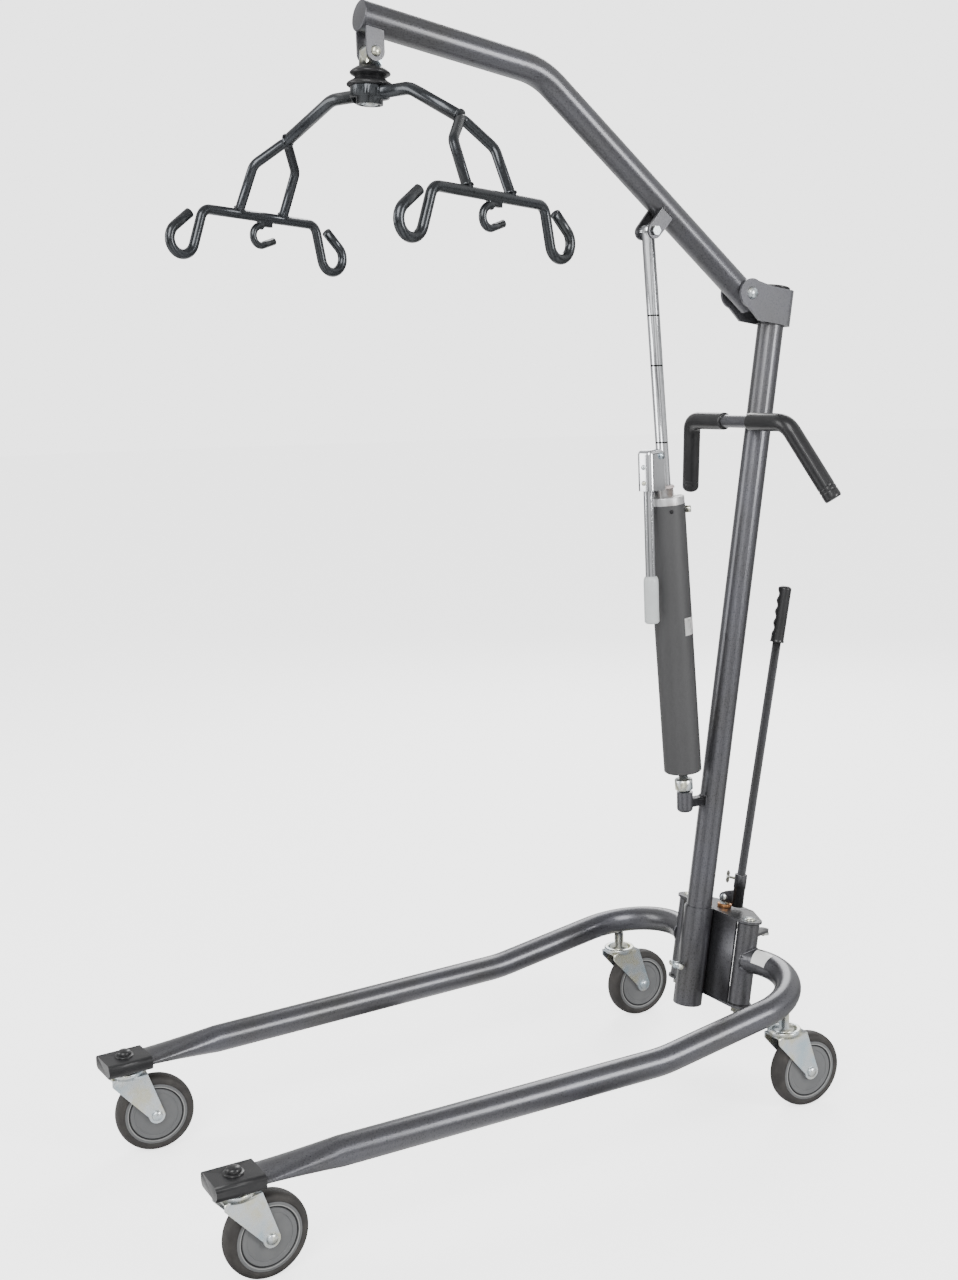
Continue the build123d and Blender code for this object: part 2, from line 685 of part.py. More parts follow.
with BuildPart() as swivel_bolt_part:
    lug_outer = lug_gap + lug_plate
    with BuildSketch(Plane.YZ.offset(-lug_outer - 8)):
        with Locations(swivel_bolt):
            Circle(swivel_bolt_radius)
    extrude(amount=2 * lug_outer + 8)
    with BuildSketch(Plane.YZ.offset(lug_outer)):
        with Locations(swivel_bolt):
            Circle(swivel_bolt_radius + 3)
    extrude(amount=4, taper=30)
    with BuildSketch(Plane.YZ.offset(-lug_outer - 6)):
        with Locations(swivel_bolt):
            RegularPolygon(swivel_bolt_radius * 1.7, 6)
    extrude(amount=6)
save(swivel_bolt_part, "swivel_bolt", hoist)

# ---------------------------------------------------------------- swivel and spreader
hanger_frame = hoist * Location(side(swivel_bolt), (-swivel_lean, 0, 0))
spreader_frame = hanger_frame * Location((0, 0, 0), (0, 0, spreader_turn))
stem_radius = 8.0
boot_top = -19.0
hub_top = -47.9
hub_skirt = -62.0
hub_bottom = -72.0
hub_ring_radius = 29.0
hub_boss_radius = 19.5
nut_seat = -64.0

with BuildPart() as swivel_eye:
    with BuildSketch(Plane.YZ.offset(-lug_gap + 1)):
        Circle(12.5)
        with Locations((0, -9)):
            Rectangle(25, 18)
    extrude(amount=2 * lug_gap - 2)
    with BuildSketch(Plane.XY.offset(nut_seat - 9)):
        Circle(stem_radius)
    extrude(amount=-(nut_seat - 9) - 17)
    with BuildSketch(Plane.YZ.offset(-lug_gap)):
        Circle(swivel_bolt_radius + running_fit)
    extrude(amount=2 * lug_gap, mode=Mode.SUBTRACT)
save(swivel_eye, "swivel_eye", hanger_frame)

with BuildPart() as swivel_nut:
    with BuildSketch(Plane.XY.offset(nut_seat - 7.5)):
        RegularPolygon(13.5, 6)
        Circle(stem_radius, mode=Mode.SUBTRACT)
    extrude(amount=7.2)
save(swivel_nut, "swivel_nut", hanger_frame)

with BuildPart() as swivel_boot:
    with BuildSketch(Plane.XZ):
        with BuildLine():
            Polyline((stem_radius + 1.5, boot_top), (17, boot_top), (29.5, -28), (28.5, -30.5), (21.5, -35),
                     (22.5, -36.5), (34, -43.5), (34, -46), (31, hub_top), (27.5, hub_top), (19, -40),
                     (19, -33), (25, -28.5), (stem_radius + 1.5, boot_top - 2.5), close=True)
        make_face()
    revolve(axis=Axis.Z)
save(swivel_boot, "swivel_boot", spreader_frame)

hook_circle = (149.0, -263.0)
hook_bend_radius = 22.5
hook_shoulder = (111.0, -hook_bar_drop)
hook_in_angle = 197.0
hook_out_angle = 51.3
hook_lip = 35.0


def on_hook_circle(angle):
    """Point of a sling hook's round bottom, in the plane of the hook."""
    return (hook_circle[0] + hook_bend_radius * cos(radians(angle)),
            hook_circle[1] + hook_bend_radius * sin(radians(angle)))


with BuildPart() as spreader_bar:
    with BuildSketch(Plane.XY.offset(hub_skirt)):
        Circle(hub_ring_radius)
    extrude(amount=hub_top - hub_skirt)
    with BuildSketch(Plane.XY.offset(hub_bottom)):
        Circle(hub_boss_radius)
    extrude(amount=hub_skirt - hub_bottom)
    for sign in (1, -1):
        with BuildLine() as arm_path:
            FilletPolyline((sign * 15, 0, -hub_drop - 1), (sign * arm_shoulder, 0, -hub_drop - 1),
                           (sign * arm_fork_x, 0, -arm_fork_drop), radius=45)
        with BuildSketch(Plane(arm_path.line @ 0, z_dir=arm_path.line % 0)):
            Circle(arm_radius)
        sweep(path=arm_path.wire())
        with BuildLine() as strut_path:
            FilletPolyline((sign * strut_foot[0], -strut_foot[1], -strut_foot[2]),
                           (sign * strut_bend[0], -strut_bend[1], -strut_bend[2]),
                           (sign * arm_fork_x, 0, -arm_fork_drop),
                           (sign * strut_bend[0], strut_bend[1], -strut_bend[2]),
                           (sign * strut_foot[0], strut_foot[1], -strut_foot[2]), radius=[22, 9, 22])
        with BuildSketch(Plane(strut_path.line @ 0, z_dir=strut_path.line % 0)):
            Circle(strut_radius)
        sweep(path=strut_path.wire())
        bar_plane = Plane((sign * strut_foot[0], 0, 0), x_dir=(0, 1, 0), z_dir=(1, 0, 0))
        for end_sign in (1, -1):
            with BuildLine(bar_plane) as hook_path:
                into = on_hook_circle(hook_in_angle)
                out = on_hook_circle(hook_out_angle)
                bottom = on_hook_circle((hook_in_angle + 360 + hook_out_angle) / 2)
                lip = (out[0] - hook_lip * sin(radians(hook_out_angle)),
                       out[1] + hook_lip * cos(radians(hook_out_angle)))
                FilletPolyline((0, -hook_bar_drop), (end_sign * hook_shoulder[0], hook_shoulder[1]),
                               (end_sign * into[0], into[1]), radius=17)
                ThreePointArc((end_sign * into[0], into[1]), (end_sign * bottom[0], bottom[1]),
                              (end_sign * out[0], out[1]))
                Line((end_sign * out[0], out[1]), (end_sign * lip[0], lip[1]))
            with BuildSketch(Plane(hook_path.wire() @ 0, z_dir=hook_path.wire() % 0)):
                Circle(hook_radius)
            sweep(path=hook_path.wire())
        with BuildLine(bar_plane) as middle_hook:
            ThreePointArc((4, -228.8), (-14.3, -243.2), (3.5, -257.7))
            Line((3.5, -257.7), (27, -249))
        with BuildSketch(Plane(middle_hook.wire() @ 0, z_dir=middle_hook.wire() % 0)):
            Circle(middle_hook_radius)
        sweep(path=middle_hook.wire(), transition=Transition.ROUND)
        with BuildSketch(Plane.XY.offset(-hook_bar_drop - 14)):
            with Locations((sign * strut_foot[0], 8)):
                RectangleRounded(9, 28, 3)
        extrude(amount=12)
    with BuildSketch(Plane.XY.offset(hub_bottom)):
        Circle(15)
    extrude(amount=nut_seat - hub_bottom, mode=Mode.SUBTRACT)
    with BuildSketch(Plane.XY.offset(hub_bottom)):
        Circle(stem_radius + running_fit)
    extrude(amount=40, mode=Mode.SUBTRACT)
save(spreader_bar, "spreader_bar", spreader_frame)

# ---------------------------------------------------------------- pump ram
head_height = 13.0
with BuildPart() as pump_ball_foot:
    Sphere(ball_radius)
    with BuildSketch(Plane.XY):
        Circle(6.5)
    extrude(amount=22)
    with BuildSketch(Plane.XY.offset(20)):
        Circle(15.5)
    extrude(amount=20)
    chamfer(pump_ball_foot.edges().filter_by(GeomType.CIRCLE).filter_by_position(Axis.Z, 19, 41), length=1.5)
    with BuildSketch(Plane.XY.offset(40)):
        Circle(7.8)
    extrude(amount=barrel_bottom - 40)
save(pump_ball_foot, "pump_ball_foot", pump_frame)

with BuildPart() as pump_barrel:
    with BuildSketch(Plane.XY.offset(barrel_bottom)):
        Circle(barrel_radius)
    extrude(amount=barrel_top - barrel_bottom)
    chamfer(pump_barrel.edges().group_by(Axis.Z)[0], length=2)
    with BuildSketch(Plane.XY.offset(barrel_bottom + 12)):
        Circle(barrel_radius - 4)
    extrude(amount=barrel_top, mode=Mode.SUBTRACT)
save(pump_barrel, "pump_barrel", pump_frame)

pump_head_frame = pump_frame * Location((0, 0, 0), (0, 0, pump_turn))
lever_pin_y = -24.0
lever_pin_z = barrel_top + 84
cheek_inner = 9.0
cheek_plate = 3.0
with BuildPart() as pump_head:
    with BuildSketch(Plane.XY.offset(barrel_top)):
        Circle(barrel_radius - 0.7)
    extrude(amount=head_height)
    fillet(pump_head.edges().group_by(Axis.Z)[-1], radius=1.5)
    with BuildSketch(Plane.XY.offset(barrel_top + head_height)):
        Circle(rod_radius + 4)
        with Locations((0, lever_pin_y)):
            Circle(6.5)
    extrude(amount=14)
    with BuildSketch(Plane.XY.offset(barrel_top + head_height)):
        with Locations((0, lever_pin_y)):
            Circle(3.5)
    extrude(amount=40)
    for inner in (-cheek_inner - cheek_plate, cheek_inner):
        with BuildSketch(Plane.YZ.offset(inner)):
            with Locations((lever_pin_y, lever_pin_z)):
                Circle(9)
            with Locations((lever_pin_y + 3, barrel_top + head_height + 2)):
                Rectangle(18, 4)
            make_hull()
        extrude(amount=cheek_plate)
    with BuildSketch(Plane.XY.offset(barrel_top - 5)):
        Circle(rod_radius + running_fit)
    extrude(amount=60, mode=Mode.SUBTRACT)
    with BuildSketch(Plane.YZ.offset(-20)):
        with Locations((lever_pin_y, lever_pin_z)):
            Circle(4)
    extrude(amount=40, mode=Mode.SUBTRACT)
save(pump_head, "pump_head", pump_head_frame)

with BuildPart() as pump_lever_pin:
    with BuildSketch(Plane.YZ.offset(-cheek_inner - 2 * cheek_plate - 3)):
        with Locations((lever_pin_y, lever_pin_z)):
            Circle(4)
    extrude(amount=2 * cheek_inner + 4 * cheek_plate + 6)
    for end in (-cheek_inner - 2 * cheek_plate - 3, cheek_inner + 2 * cheek_plate + 1):
        with BuildSketch(Plane.YZ.offset(end)):
            with Locations((lever_pin_y, lever_pin_z)):
                Circle(6)
        extrude(amount=2)
save(pump_lever_pin, "pump_lever_pin", pump_head_frame)

lever_hang = 4.0
lever_tube_y = -17.0
lever_tube_radius = 8.8
lever_tube_length = 198.0
lever_yoke_inner = cheek_inner + cheek_plate + loose_fit
pump_lever_frame = pump_head_frame * Location((0, lever_pin_y, lever_pin_z), (-lever_hang, 0, 0))
with BuildPart() as pump_lever:
    for inner in (-lever_yoke_inner - 2.5, lever_yoke_inner):
        with BuildSketch(Plane.YZ.offset(inner)):
            Circle(10)
            with Locations((lever_tube_y - 4, -24)):
                Rectangle(18, 66)
            make_hull()
            Circle(4 + running_fit, mode=Mode.SUBTRACT)
        extrude(amount=2.5)
    with BuildSketch(Plane.XZ.offset(-lever_tube_y + 10)):
        with Locations((0, -24)):
            Rectangle(2 * lever_yoke_inner + 5, 66)
    extrude(amount=3)
    with BuildSketch(Plane.XY.offset(-lever_tube_length)):
        with Locations((0, lever_tube_y)):
            Circle(lever_tube_radius)
    extrude(amount=lever_tube_length - 30)
    with BuildSketch(Plane.XY.offset(-50)):
        with Locations((0, lever_tube_y)):
            Rectangle(2 * lever_yoke_inner, 14)
    extrude(amount=24)
save(pump_lever, "pump_lever", pump_lever_frame)

with BuildPart() as pump_grip:
    with BuildSketch(Plane.XY.offset(-lever_tube_length)):
        with Locations((0, lever_tube_y)):
            Circle(12.5)
    extrude(amount=-80)
    chamfer(pump_grip.edges().group_by(Axis.Z)[-1], length=4)
    chamfer(pump_grip.edges().group_by(Axis.Z)[0], length=2)
save(pump_grip, "pump_grip", pump_lever_frame)

piston_bottom = 345.0
with BuildPart() as pump_rod:
    with BuildSketch(Plane.XY.offset(piston_bottom)):
        Circle(barrel_radius - 4 - loose_fit)
    extrude(amount=20)
    with BuildSketch(Plane.XY.offset(piston_bottom)):
        Circle(rod_radius)
    extrude(amount=ram_length - piston_bottom)
    with BuildSketch(Plane.YZ.offset(-rod_radius - 1)):
        with Locations((0, ram_length)):
            Circle(rod_eye_radius)
    extrude(amount=2 * rod_radius + 2)
    with BuildSketch(Plane.YZ.offset(-clevis_gap + shank_gap)):
        with Locations((0, ram_length)):
            Circle(clevis_bolt_radius)
    extrude(amount=2 * (clevis_gap - shank_gap))
save(pump_rod, "pump_rod", pump_frame)

valve_height = barrel_top - 11
valve_turn = -31.0
valve_frame = pump_frame * Location((0, 0, valve_height), (0, 0, valve_turn))
with BuildPart() as release_valve:
    with BuildSketch(Plane.XZ.offset(-barrel_radius - 0.3)):
        Circle(6)
    extrude(amount=-9)
    fillet(release_valve.edges().group_by(Axis.Y)[-1], radius=1.2)
save(release_valve, "release_valve", valve_frame)

# ---------------------------------------------------------------- leg shifter
shifter_frame = mast_frame * Location((0, shifter_y, 0), (0, 0, shifter_turn))
crank_bottom = 262.0
crank_thickness = 6.0
tab_bottom = bracket_top + 8.5
lever_bolt_z = bracket_top + 19
with BuildPart() as shifter_shaft:
    with BuildSketch(Plane.XY.offset(crank_bottom)):
        Circle(crank_radius + link_pin_radius + 3)
    extrude(amount=crank_thickness)
    with BuildSketch(Plane.XY.offset(crank_bottom + crank_thickness)):
        Circle(shifter_radius)
    extrude(amount=tab_bottom - crank_bottom - crank_thickness)
    with BuildSketch(Plane.XZ.offset(-4)):
        with Locations((0, tab_bottom + 1)):
            Rectangle(16, 6)
        with Locations((0, lever_bolt_z)):
            Circle(8)
        make_hull()
    extrude(amount=8)
    with BuildSketch(Plane.XZ.offset(-10.5)):
        with Locations((0, lever_bolt_z)):
            Circle(3.5)
    extrude(amount=21)
    for hand, angle in (("left", crank_start), ("right", crank_start + 180)):
        spot = Vector(crank_radius, 0).rotate(Axis.Z, angle - shifter_turn)
        with BuildSketch(Plane.XY.offset(link_levels[hand] - 1)):
            with Locations((spot.X, spot.Y)):
                Circle(link_pin_radius)
        extrude(amount=crank_bottom - link_levels[hand] + 1 + crank_thickness / 2)
save(shifter_shaft, "shifter_shaft", shifter_frame)

with BuildPart() as shifter_lever:
    for inner in (-7.3, 4.3):
        with BuildSketch(Plane.XZ.offset(inner)):
            with Locations((0, lever_bolt_z)):
                Circle(9)
            with Locations((lever_offset - 5, lever_bolt_z + 3)):
                Rectangle(8, 24)
            make_hull()
            with Locations((0, lever_bolt_z)):
                Circle(3.5 + running_fit, mode=Mode.SUBTRACT)
        extrude(amount=3)
    with BuildSketch(Plane.XY.offset(bracket_top + 6)):
        with Locations((lever_offset, 0)):
            Circle(lever_foot_radius)
    extrude(amount=34)
    with BuildSketch(Plane.XY.offset(bracket_top + 40)):
        with Locations((lever_offset, 0)):
            Circle(lever_foot_radius + 0.8)
    extrude(amount=25)
    fillet(shifter_lever.edges().group_by(Axis.Z)[-1], radius=1.5)
    tilt = radians(lever_tilt)
    lever_plane = Plane((lever_offset, 0, bracket_top + 50), z_dir=(sin(tilt), 0, cos(tilt)))
    with BuildSketch(lever_plane):
        Circle(lever_radius)
    extrude(amount=lever_top - bracket_top - 52)
save(shifter_lever, "shifter_lever", shifter_frame)

with BuildPart() as shifter_grip:
    grip_length = 96.0
    with BuildSketch(lever_plane.offset(lever_top - bracket_top - 50 - grip_length)):
        Circle(11.5)
    extrude(amount=grip_length + 3)
    fillet(shifter_grip.edges().group_by(Axis.Z)[-1], radius=3)
    with BuildSketch(lever_plane):
        Circle(lever_radius)
    extrude(amount=lever_top - bracket_top - 52, mode=Mode.SUBTRACT)
save(shifter_grip, "shifter_grip", shifter_frame)

link_hole = link_pin_radius + 4.4
for hand, sign, angle in (("left", 1, crank_start), ("right", -1, crank_start + 180)):
    with BuildPart() as link:
        pin = Vector(crank_radius, 0).rotate(Axis.Z, angle)
        pin_spot = (pin.X, shifter_y + pin.Y)
        lug_spot = (sign * (pivot_x + link_lug[0]), pivot_y + link_lug[1])
        with BuildSketch(Plane.XY.offset(link_levels[hand])):
            with Locations(pin_spot):
                Circle(link_width / 2)
            with Locations(lug_spot):
                Circle(link_hole + 3)
            make_hull()
            with Locations(pin_spot):
                Circle(link_pin_radius + running_fit, mode=Mode.SUBTRACT)
            with Locations(lug_spot):
                Circle(link_hole, mode=Mode.SUBTRACT)
        extrude(amount=link_thickness)
    save(link, f"shifter_link_{hand}", mast_frame)
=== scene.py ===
"""Looks of a patient lift hoist: finishes for its pieces, worked details and a plain studio.

Metres, +Z up, standing on the floor.  The open ends of the legs point along -Y.
"""

import json
import logging
import math
from dataclasses import dataclass, field
from enum import Enum
from typing import Iterable, Sequence

import bmesh
import bpy
from mathutils import Matrix, Vector

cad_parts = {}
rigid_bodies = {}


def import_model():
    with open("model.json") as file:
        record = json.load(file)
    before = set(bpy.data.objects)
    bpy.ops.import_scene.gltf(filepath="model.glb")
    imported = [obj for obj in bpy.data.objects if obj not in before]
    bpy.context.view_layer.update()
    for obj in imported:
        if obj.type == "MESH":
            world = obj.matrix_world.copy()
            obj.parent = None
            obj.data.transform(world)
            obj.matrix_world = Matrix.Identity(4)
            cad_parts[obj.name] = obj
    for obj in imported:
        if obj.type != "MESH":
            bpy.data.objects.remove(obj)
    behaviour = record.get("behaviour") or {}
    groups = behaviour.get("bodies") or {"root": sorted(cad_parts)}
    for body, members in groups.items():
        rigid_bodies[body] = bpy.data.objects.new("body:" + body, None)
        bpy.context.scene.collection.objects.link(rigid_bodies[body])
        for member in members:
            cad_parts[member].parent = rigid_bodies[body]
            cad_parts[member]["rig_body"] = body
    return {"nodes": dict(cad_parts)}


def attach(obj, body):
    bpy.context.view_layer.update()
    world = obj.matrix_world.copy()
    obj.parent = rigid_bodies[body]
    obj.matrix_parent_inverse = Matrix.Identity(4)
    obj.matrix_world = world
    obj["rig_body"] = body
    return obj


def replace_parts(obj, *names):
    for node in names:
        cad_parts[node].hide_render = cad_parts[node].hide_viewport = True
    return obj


log = logging.getLogger("hoist")
Colour = tuple[float, float, float]


class Corner(Enum):
    """The four casters by place: x, y of the stem in the hoist frame and the turn of the fork."""

    FRONT_LEFT = ("front_left", 0.2345, -0.932, 3.9)
    FRONT_RIGHT = ("front_right", -0.2345, -0.932, -7.4)
    REAR_LEFT = ("rear_left", 0.2395, 0.038, -3.3)
    REAR_RIGHT = ("rear_right", -0.2395, 0.038, -0.8)


class Hand(Enum):
    """The hoist's two sides and the sign of x on each."""

    LEFT = ("left", 1.0)
    RIGHT = ("right", -1.0)


# ---------------------------------------------------------------- working frames
HOIST = Matrix.Translation((0.0, 0.361775, 0.0))
MAST = HOIST @ Matrix.Rotation(math.radians(-9.15), 4, "X")
PUMP = HOIST @ Matrix.Translation((0.0, 0.017, 0.486)) @ Matrix.Rotation(math.radians(3.818), 4, "X")
PUMP_HEAD = PUMP @ Matrix.Rotation(math.radians(18.0), 4, "Z")
PUMP_LEVER = (PUMP_HEAD @ Matrix.Translation((0.0, -0.024, 0.603))
              @ Matrix.Rotation(math.radians(-4.0), 4, "X"))
HANGER = HOIST @ Matrix.Translation((0.0, -0.5335, 1.686)) @ Matrix.Rotation(math.radians(-4.0), 4, "X")
SPREADER = HANGER @ Matrix.Rotation(math.radians(16.75), 4, "Z")
SHIFTER = MAST @ Matrix.Translation((0.0, 0.0577, 0.0)) @ Matrix.Rotation(math.radians(25.0), 4, "Z")
TUBE = 0.022225


def caster_frame(corner: Corner) -> Matrix:
    """Frame of a caster with its stem on z and its trail along y.

    Args:
        corner: which caster.

    Returns:
        The frame's matrix in the row frame.
    """
    _, x, y, turn = corner.value
    return HOIST @ Matrix.Translation((x, y, 0.0)) @ Matrix.Rotation(math.radians(turn), 4, "Z")


# ---------------------------------------------------------------- node sketching
class NodeSketch:
    """Builds one node material around a Principled shader."""

    def __init__(self, name: str) -> None:
        """Starts an empty material.

        Args:
            name: the material's name.
        """
        self.material = bpy.data.materials.new(name)
        self.material.use_nodes = True
        self.tree = self.material.node_tree
        self.shader = self.tree.nodes["Principled BSDF"]
        self.place = self.tree.nodes.new("ShaderNodeTexCoord").outputs["Object"]

    def node(self, kind: str, inputs: dict | None = None, **settings: object) -> bpy.types.Node:
        """Adds a node.

        Args:
            kind: the node's type.
            inputs: socket name to a value or to another node's socket.
            settings: attributes of the node.

        Returns:
            The new node.
        """
        made = self.tree.nodes.new(kind)
        for key, value in settings.items():
            setattr(made, key, value)
        for key, value in (inputs or {}).items():
            self.feed(made.inputs[key], value)
        return made

    def feed(self, socket: bpy.types.NodeSocket, value: object) -> None:
        """Links or sets a socket.

        Args:
            socket: the input socket.
            value: another node's output socket or a plain value.
        """
        if isinstance(value, bpy.types.NodeSocket):
            self.tree.links.new(value, socket)
        else:
            socket.default_value = value

    def noise(self, scale: float, detail: float = 4.0, stretch: Sequence[float] = (1, 1, 1)) -> object:
        """Noise on object coordinates.

        Args:
            scale: cells per metre.
            detail: octaves.
            stretch: scale factors of the three axes.

        Returns:
            The factor socket.
        """
        place = self.node("ShaderNodeMapping", {"Vector": self.place, "Scale": tuple(stretch)})
        return self.node("ShaderNodeTexNoise", {"Vector": place.outputs[0], "Scale": scale,
                                                "Detail": detail, "Roughness": 0.55}).outputs[0]

    def cells(self, scale: float) -> object:
        """Soft round cells on object coordinates.

        Args:
            scale: cells per metre.

        Returns:
            The distance socket.
        """
        return self.node("ShaderNodeTexVoronoi", {"Vector": self.place, "Scale": scale, "Smoothness": 0.6},
                         feature="SMOOTH_F1").outputs["Distance"]

    def ramp(self, factor: object, stops: Sequence[tuple[float, Colour]]) -> object:
        """Colour ramp.

        Args:
            factor: the socket that drives it.
            stops: position and colour of each stop.

        Returns:
            The colour socket.
        """
        made = self.node("ShaderNodeValToRGB", {"Fac": factor})
        bar = made.color_ramp
        while len(bar.elements) < len(stops):
            bar.elements.new(0.5)
        for element, (position, colour) in zip(bar.elements, stops):
            element.position = position
            element.color = (*colour, 1.0)
        return made.outputs[0]

    def span(self, factor: object, low: float, high: float, start: float = 0.3, end: float = 0.7) -> object:
        """Maps a factor to a range.

        Args:
            factor: the socket to map.
            low: value at start.
            high: value at end.
            start: factor where low holds.
            end: factor where high holds.

        Returns:
            The mapped socket.
        """
        return self.node("ShaderNodeMapRange", {"Value": factor, "From Min": start, "From Max": end,
                                                "To Min": low, "To Max": high}).outputs[0]

    def mix(self, factor: object, first: object, second: object) -> object:
        """Mixes two colours.

        Args:
            factor: how much of the second.
            first: colour or socket.
            second: colour or socket.

        Returns:
            The colour socket.
        """
        made = self.node("ShaderNodeMix", data_type="RGBA")
        self.feed(made.inputs["Factor"], factor)
        for socket, value in ((made.inputs[6], first), (made.inputs[7], second)):
            self.feed(socket, value if isinstance(value, bpy.types.NodeSocket) else (*value, 1.0))
        return made.outputs[2]

    def relief(self, height: object, depth: float, strength: float = 0.5, under: object = None) -> object:
        """Bump from a height.

        Args:
            height: the height socket.
            depth: its depth in metres.
            strength: its strength.
            under: the normal it stands on.

        Returns:
            The normal socket.
        """
        inputs = {"Height": height, "Distance": depth, "Strength": strength}
        if under is not None:
            inputs["Normal"] = under
        return self.node("ShaderNodeBump", inputs).outputs[0]


# ---------------------------------------------------------------- finishes
@dataclass(frozen=True)
class HammeredEnamel:
    """Silver-vein enamel: metal flake under clear paint, with shallow hammered cells."""

    name: str
    slot: str
    dark: Colour
    light: Colour
    cell: float = 260.0
    relief: float = 0.0001
    roughness: float = 0.34
    metallic: float = 0.82

    def material(self) -> bpy.types.Material:
        """Returns the node material."""
        sketch = NodeSketch(self.name)
        vein = sketch.noise(self.cell * 1.6, 6.0)
        cloud = sketch.noise(9.0, 3.0)
        body = sketch.ramp(vein, [(0.32, self.dark), (0.55, self.light), (0.8, self.dark)])
        violet = tuple(c * k for c, k in zip(self.light, (0.92, 0.9, 1.12)))
        warm = tuple(c * k for c, k in zip(self.dark, (1.06, 1.0, 0.94)))
        tint = sketch.mix(sketch.span(cloud, 0.0, 1.0), violet, warm)
        sketch.feed(sketch.shader.inputs["Base Color"], sketch.mix(0.35, body, tint))
        sketch.shader.inputs["Metallic"].default_value = self.metallic
        sketch.feed(sketch.shader.inputs["Roughness"],
                    sketch.span(vein, self.roughness - 0.07, self.roughness + 0.09))
        under = sketch.relief(sketch.cells(self.cell), self.relief, 0.35)
        sketch.feed(sketch.shader.inputs["Normal"], sketch.relief(vein, self.relief * 0.4, 0.3, under))
        sketch.shader.inputs["Coat Weight"].default_value = 0.35
        sketch.shader.inputs["Coat Roughness"].default_value = 0.16
        return sketch.material


@dataclass(frozen=True)
class ZincPlate:
    """Bright zinc plating with its faint yellow and blue bloom."""

    name: str
    slot: str
    pale: Colour
    yellow: Colour
    blue: Colour
    roughness: float = 0.27

    def material(self) -> bpy.types.Material:
        """Returns the node material."""
        sketch = NodeSketch(self.name)
        bloom = sketch.noise(28.0, 3.0)
        grain = sketch.noise(900.0, 3.0)
        sketch.feed(sketch.shader.inputs["Base Color"],
                    sketch.ramp(bloom, [(0.3, self.blue), (0.48, self.pale), (0.6, self.yellow),
                                        (0.74, self.pale)]))
        sketch.shader.inputs["Metallic"].default_value = 0.95
        sketch.feed(sketch.shader.inputs["Roughness"],
                    sketch.span(grain, self.roughness - 0.06, self.roughness + 0.1))
        sketch.feed(sketch.shader.inputs["Normal"], sketch.relief(grain, 0.00008, 0.25))
        return sketch.material


@dataclass(frozen=True)
class PolishedMetal:
    """Plated or painted smooth metal with fine wear, and ring marks at heights where it is given any."""

    name: str
    slot: str
    base: Colour
    worn: Colour
    roughness: float = 0.08
    metallic: float = 1.0
    marks: tuple[float, ...] = ()

    def material(self) -> bpy.types.Material:
        """Returns the node material."""
        sketch = NodeSketch(self.name)
        haze = sketch.noise(45.0, 5.0)
        scratch = sketch.noise(700.0, 2.0, (1.0, 1.0, 0.04))
        colour = sketch.mix(sketch.span(haze, 0.0, 1.0, 0.52, 0.72), self.base, self.worn)
        height = sketch.node("ShaderNodeSeparateXYZ", {"Vector": sketch.place}).outputs[2]
        for mark in self.marks:
            near = sketch.node("ShaderNodeMath", operation="COMPARE")
            sketch.feed(near.inputs[0], height)
            near.inputs[1].default_value = mark
            near.inputs[2].default_value = 0.0012
            colour = sketch.mix(near.outputs[0], colour, (0.02, 0.02, 0.02))
        sketch.feed(sketch.shader.inputs["Base Color"], colour)
        sketch.shader.inputs["Metallic"].default_value = self.metallic
        sketch.feed(sketch.shader.inputs["Roughness"],
                    sketch.span(scratch, self.roughness, self.roughness + 0.08))
        sketch.feed(sketch.shader.inputs["Normal"], sketch.relief(scratch, 0.00004, 0.2))
        return sketch.material


@dataclass(frozen=True)
class Moulded:
    """Moulded plastic or rubber: an even body with a fine grain and a little dust."""

    name: str
    slot: str
    base: Colour
    dust: Colour
    roughness: float = 0.5
    grain: float = 1500.0
    depth: float = 0.00012
    dust_share: float = 0.2
    coat: float = 0.0

    def material(self) -> bpy.types.Material:
        """Returns the node material."""
        sketch = NodeSketch(self.name)
        fine = sketch.noise(self.grain, 3.0)
        cloud = sketch.noise(40.0, 6.0)
        share = sketch.span(cloud, 0.0, self.dust_share, 0.42, 0.75)
        sketch.feed(sketch.shader.inputs["Base Color"], sketch.mix(share, self.base, self.dust))
        sketch.feed(sketch.shader.inputs["Roughness"],
                    sketch.span(fine, self.roughness - 0.07, self.roughness + 0.1))
        sketch.feed(sketch.shader.inputs["Normal"], sketch.relief(fine, self.depth, 0.4))
        sketch.shader.inputs["Coat Weight"].default_value = self.coat
        sketch.shader.inputs["Specular IOR Level"].default_value = 0.32
        return sketch.material


@dataclass(frozen=True)
class PowderCoat:
    """Matte powder coat with its fine orange peel."""

    name: str
    slot: str
    base: Colour
    light: Colour
    roughness: float = 0.52

    def material(self) -> bpy.types.Material:
        """Returns the node material."""
        sketch = NodeSketch(self.name)
        peel = sketch.cells(750.0)
        fleck = sketch.noise(1600.0, 2.0)
        smear = sketch.noise(14.0, 5.0, (1.0, 1.0, 0.35))
        body = sketch.mix(sketch.span(fleck, 0.0, 0.5, 0.45, 0.7), self.base, self.light)
        sketch.feed(sketch.shader.inputs["Base Color"],
                    sketch.mix(sketch.span(smear, 0.0, 0.35), body, self.light))
        sketch.shader.inputs["Metallic"].default_value = 0.2
        sketch.feed(sketch.shader.inputs["Roughness"],
                    sketch.span(smear, self.roughness - 0.08, self.roughness + 0.06))
        sketch.feed(sketch.shader.inputs["Normal"], sketch.relief(peel, 0.00025, 0.3))
        return sketch.material


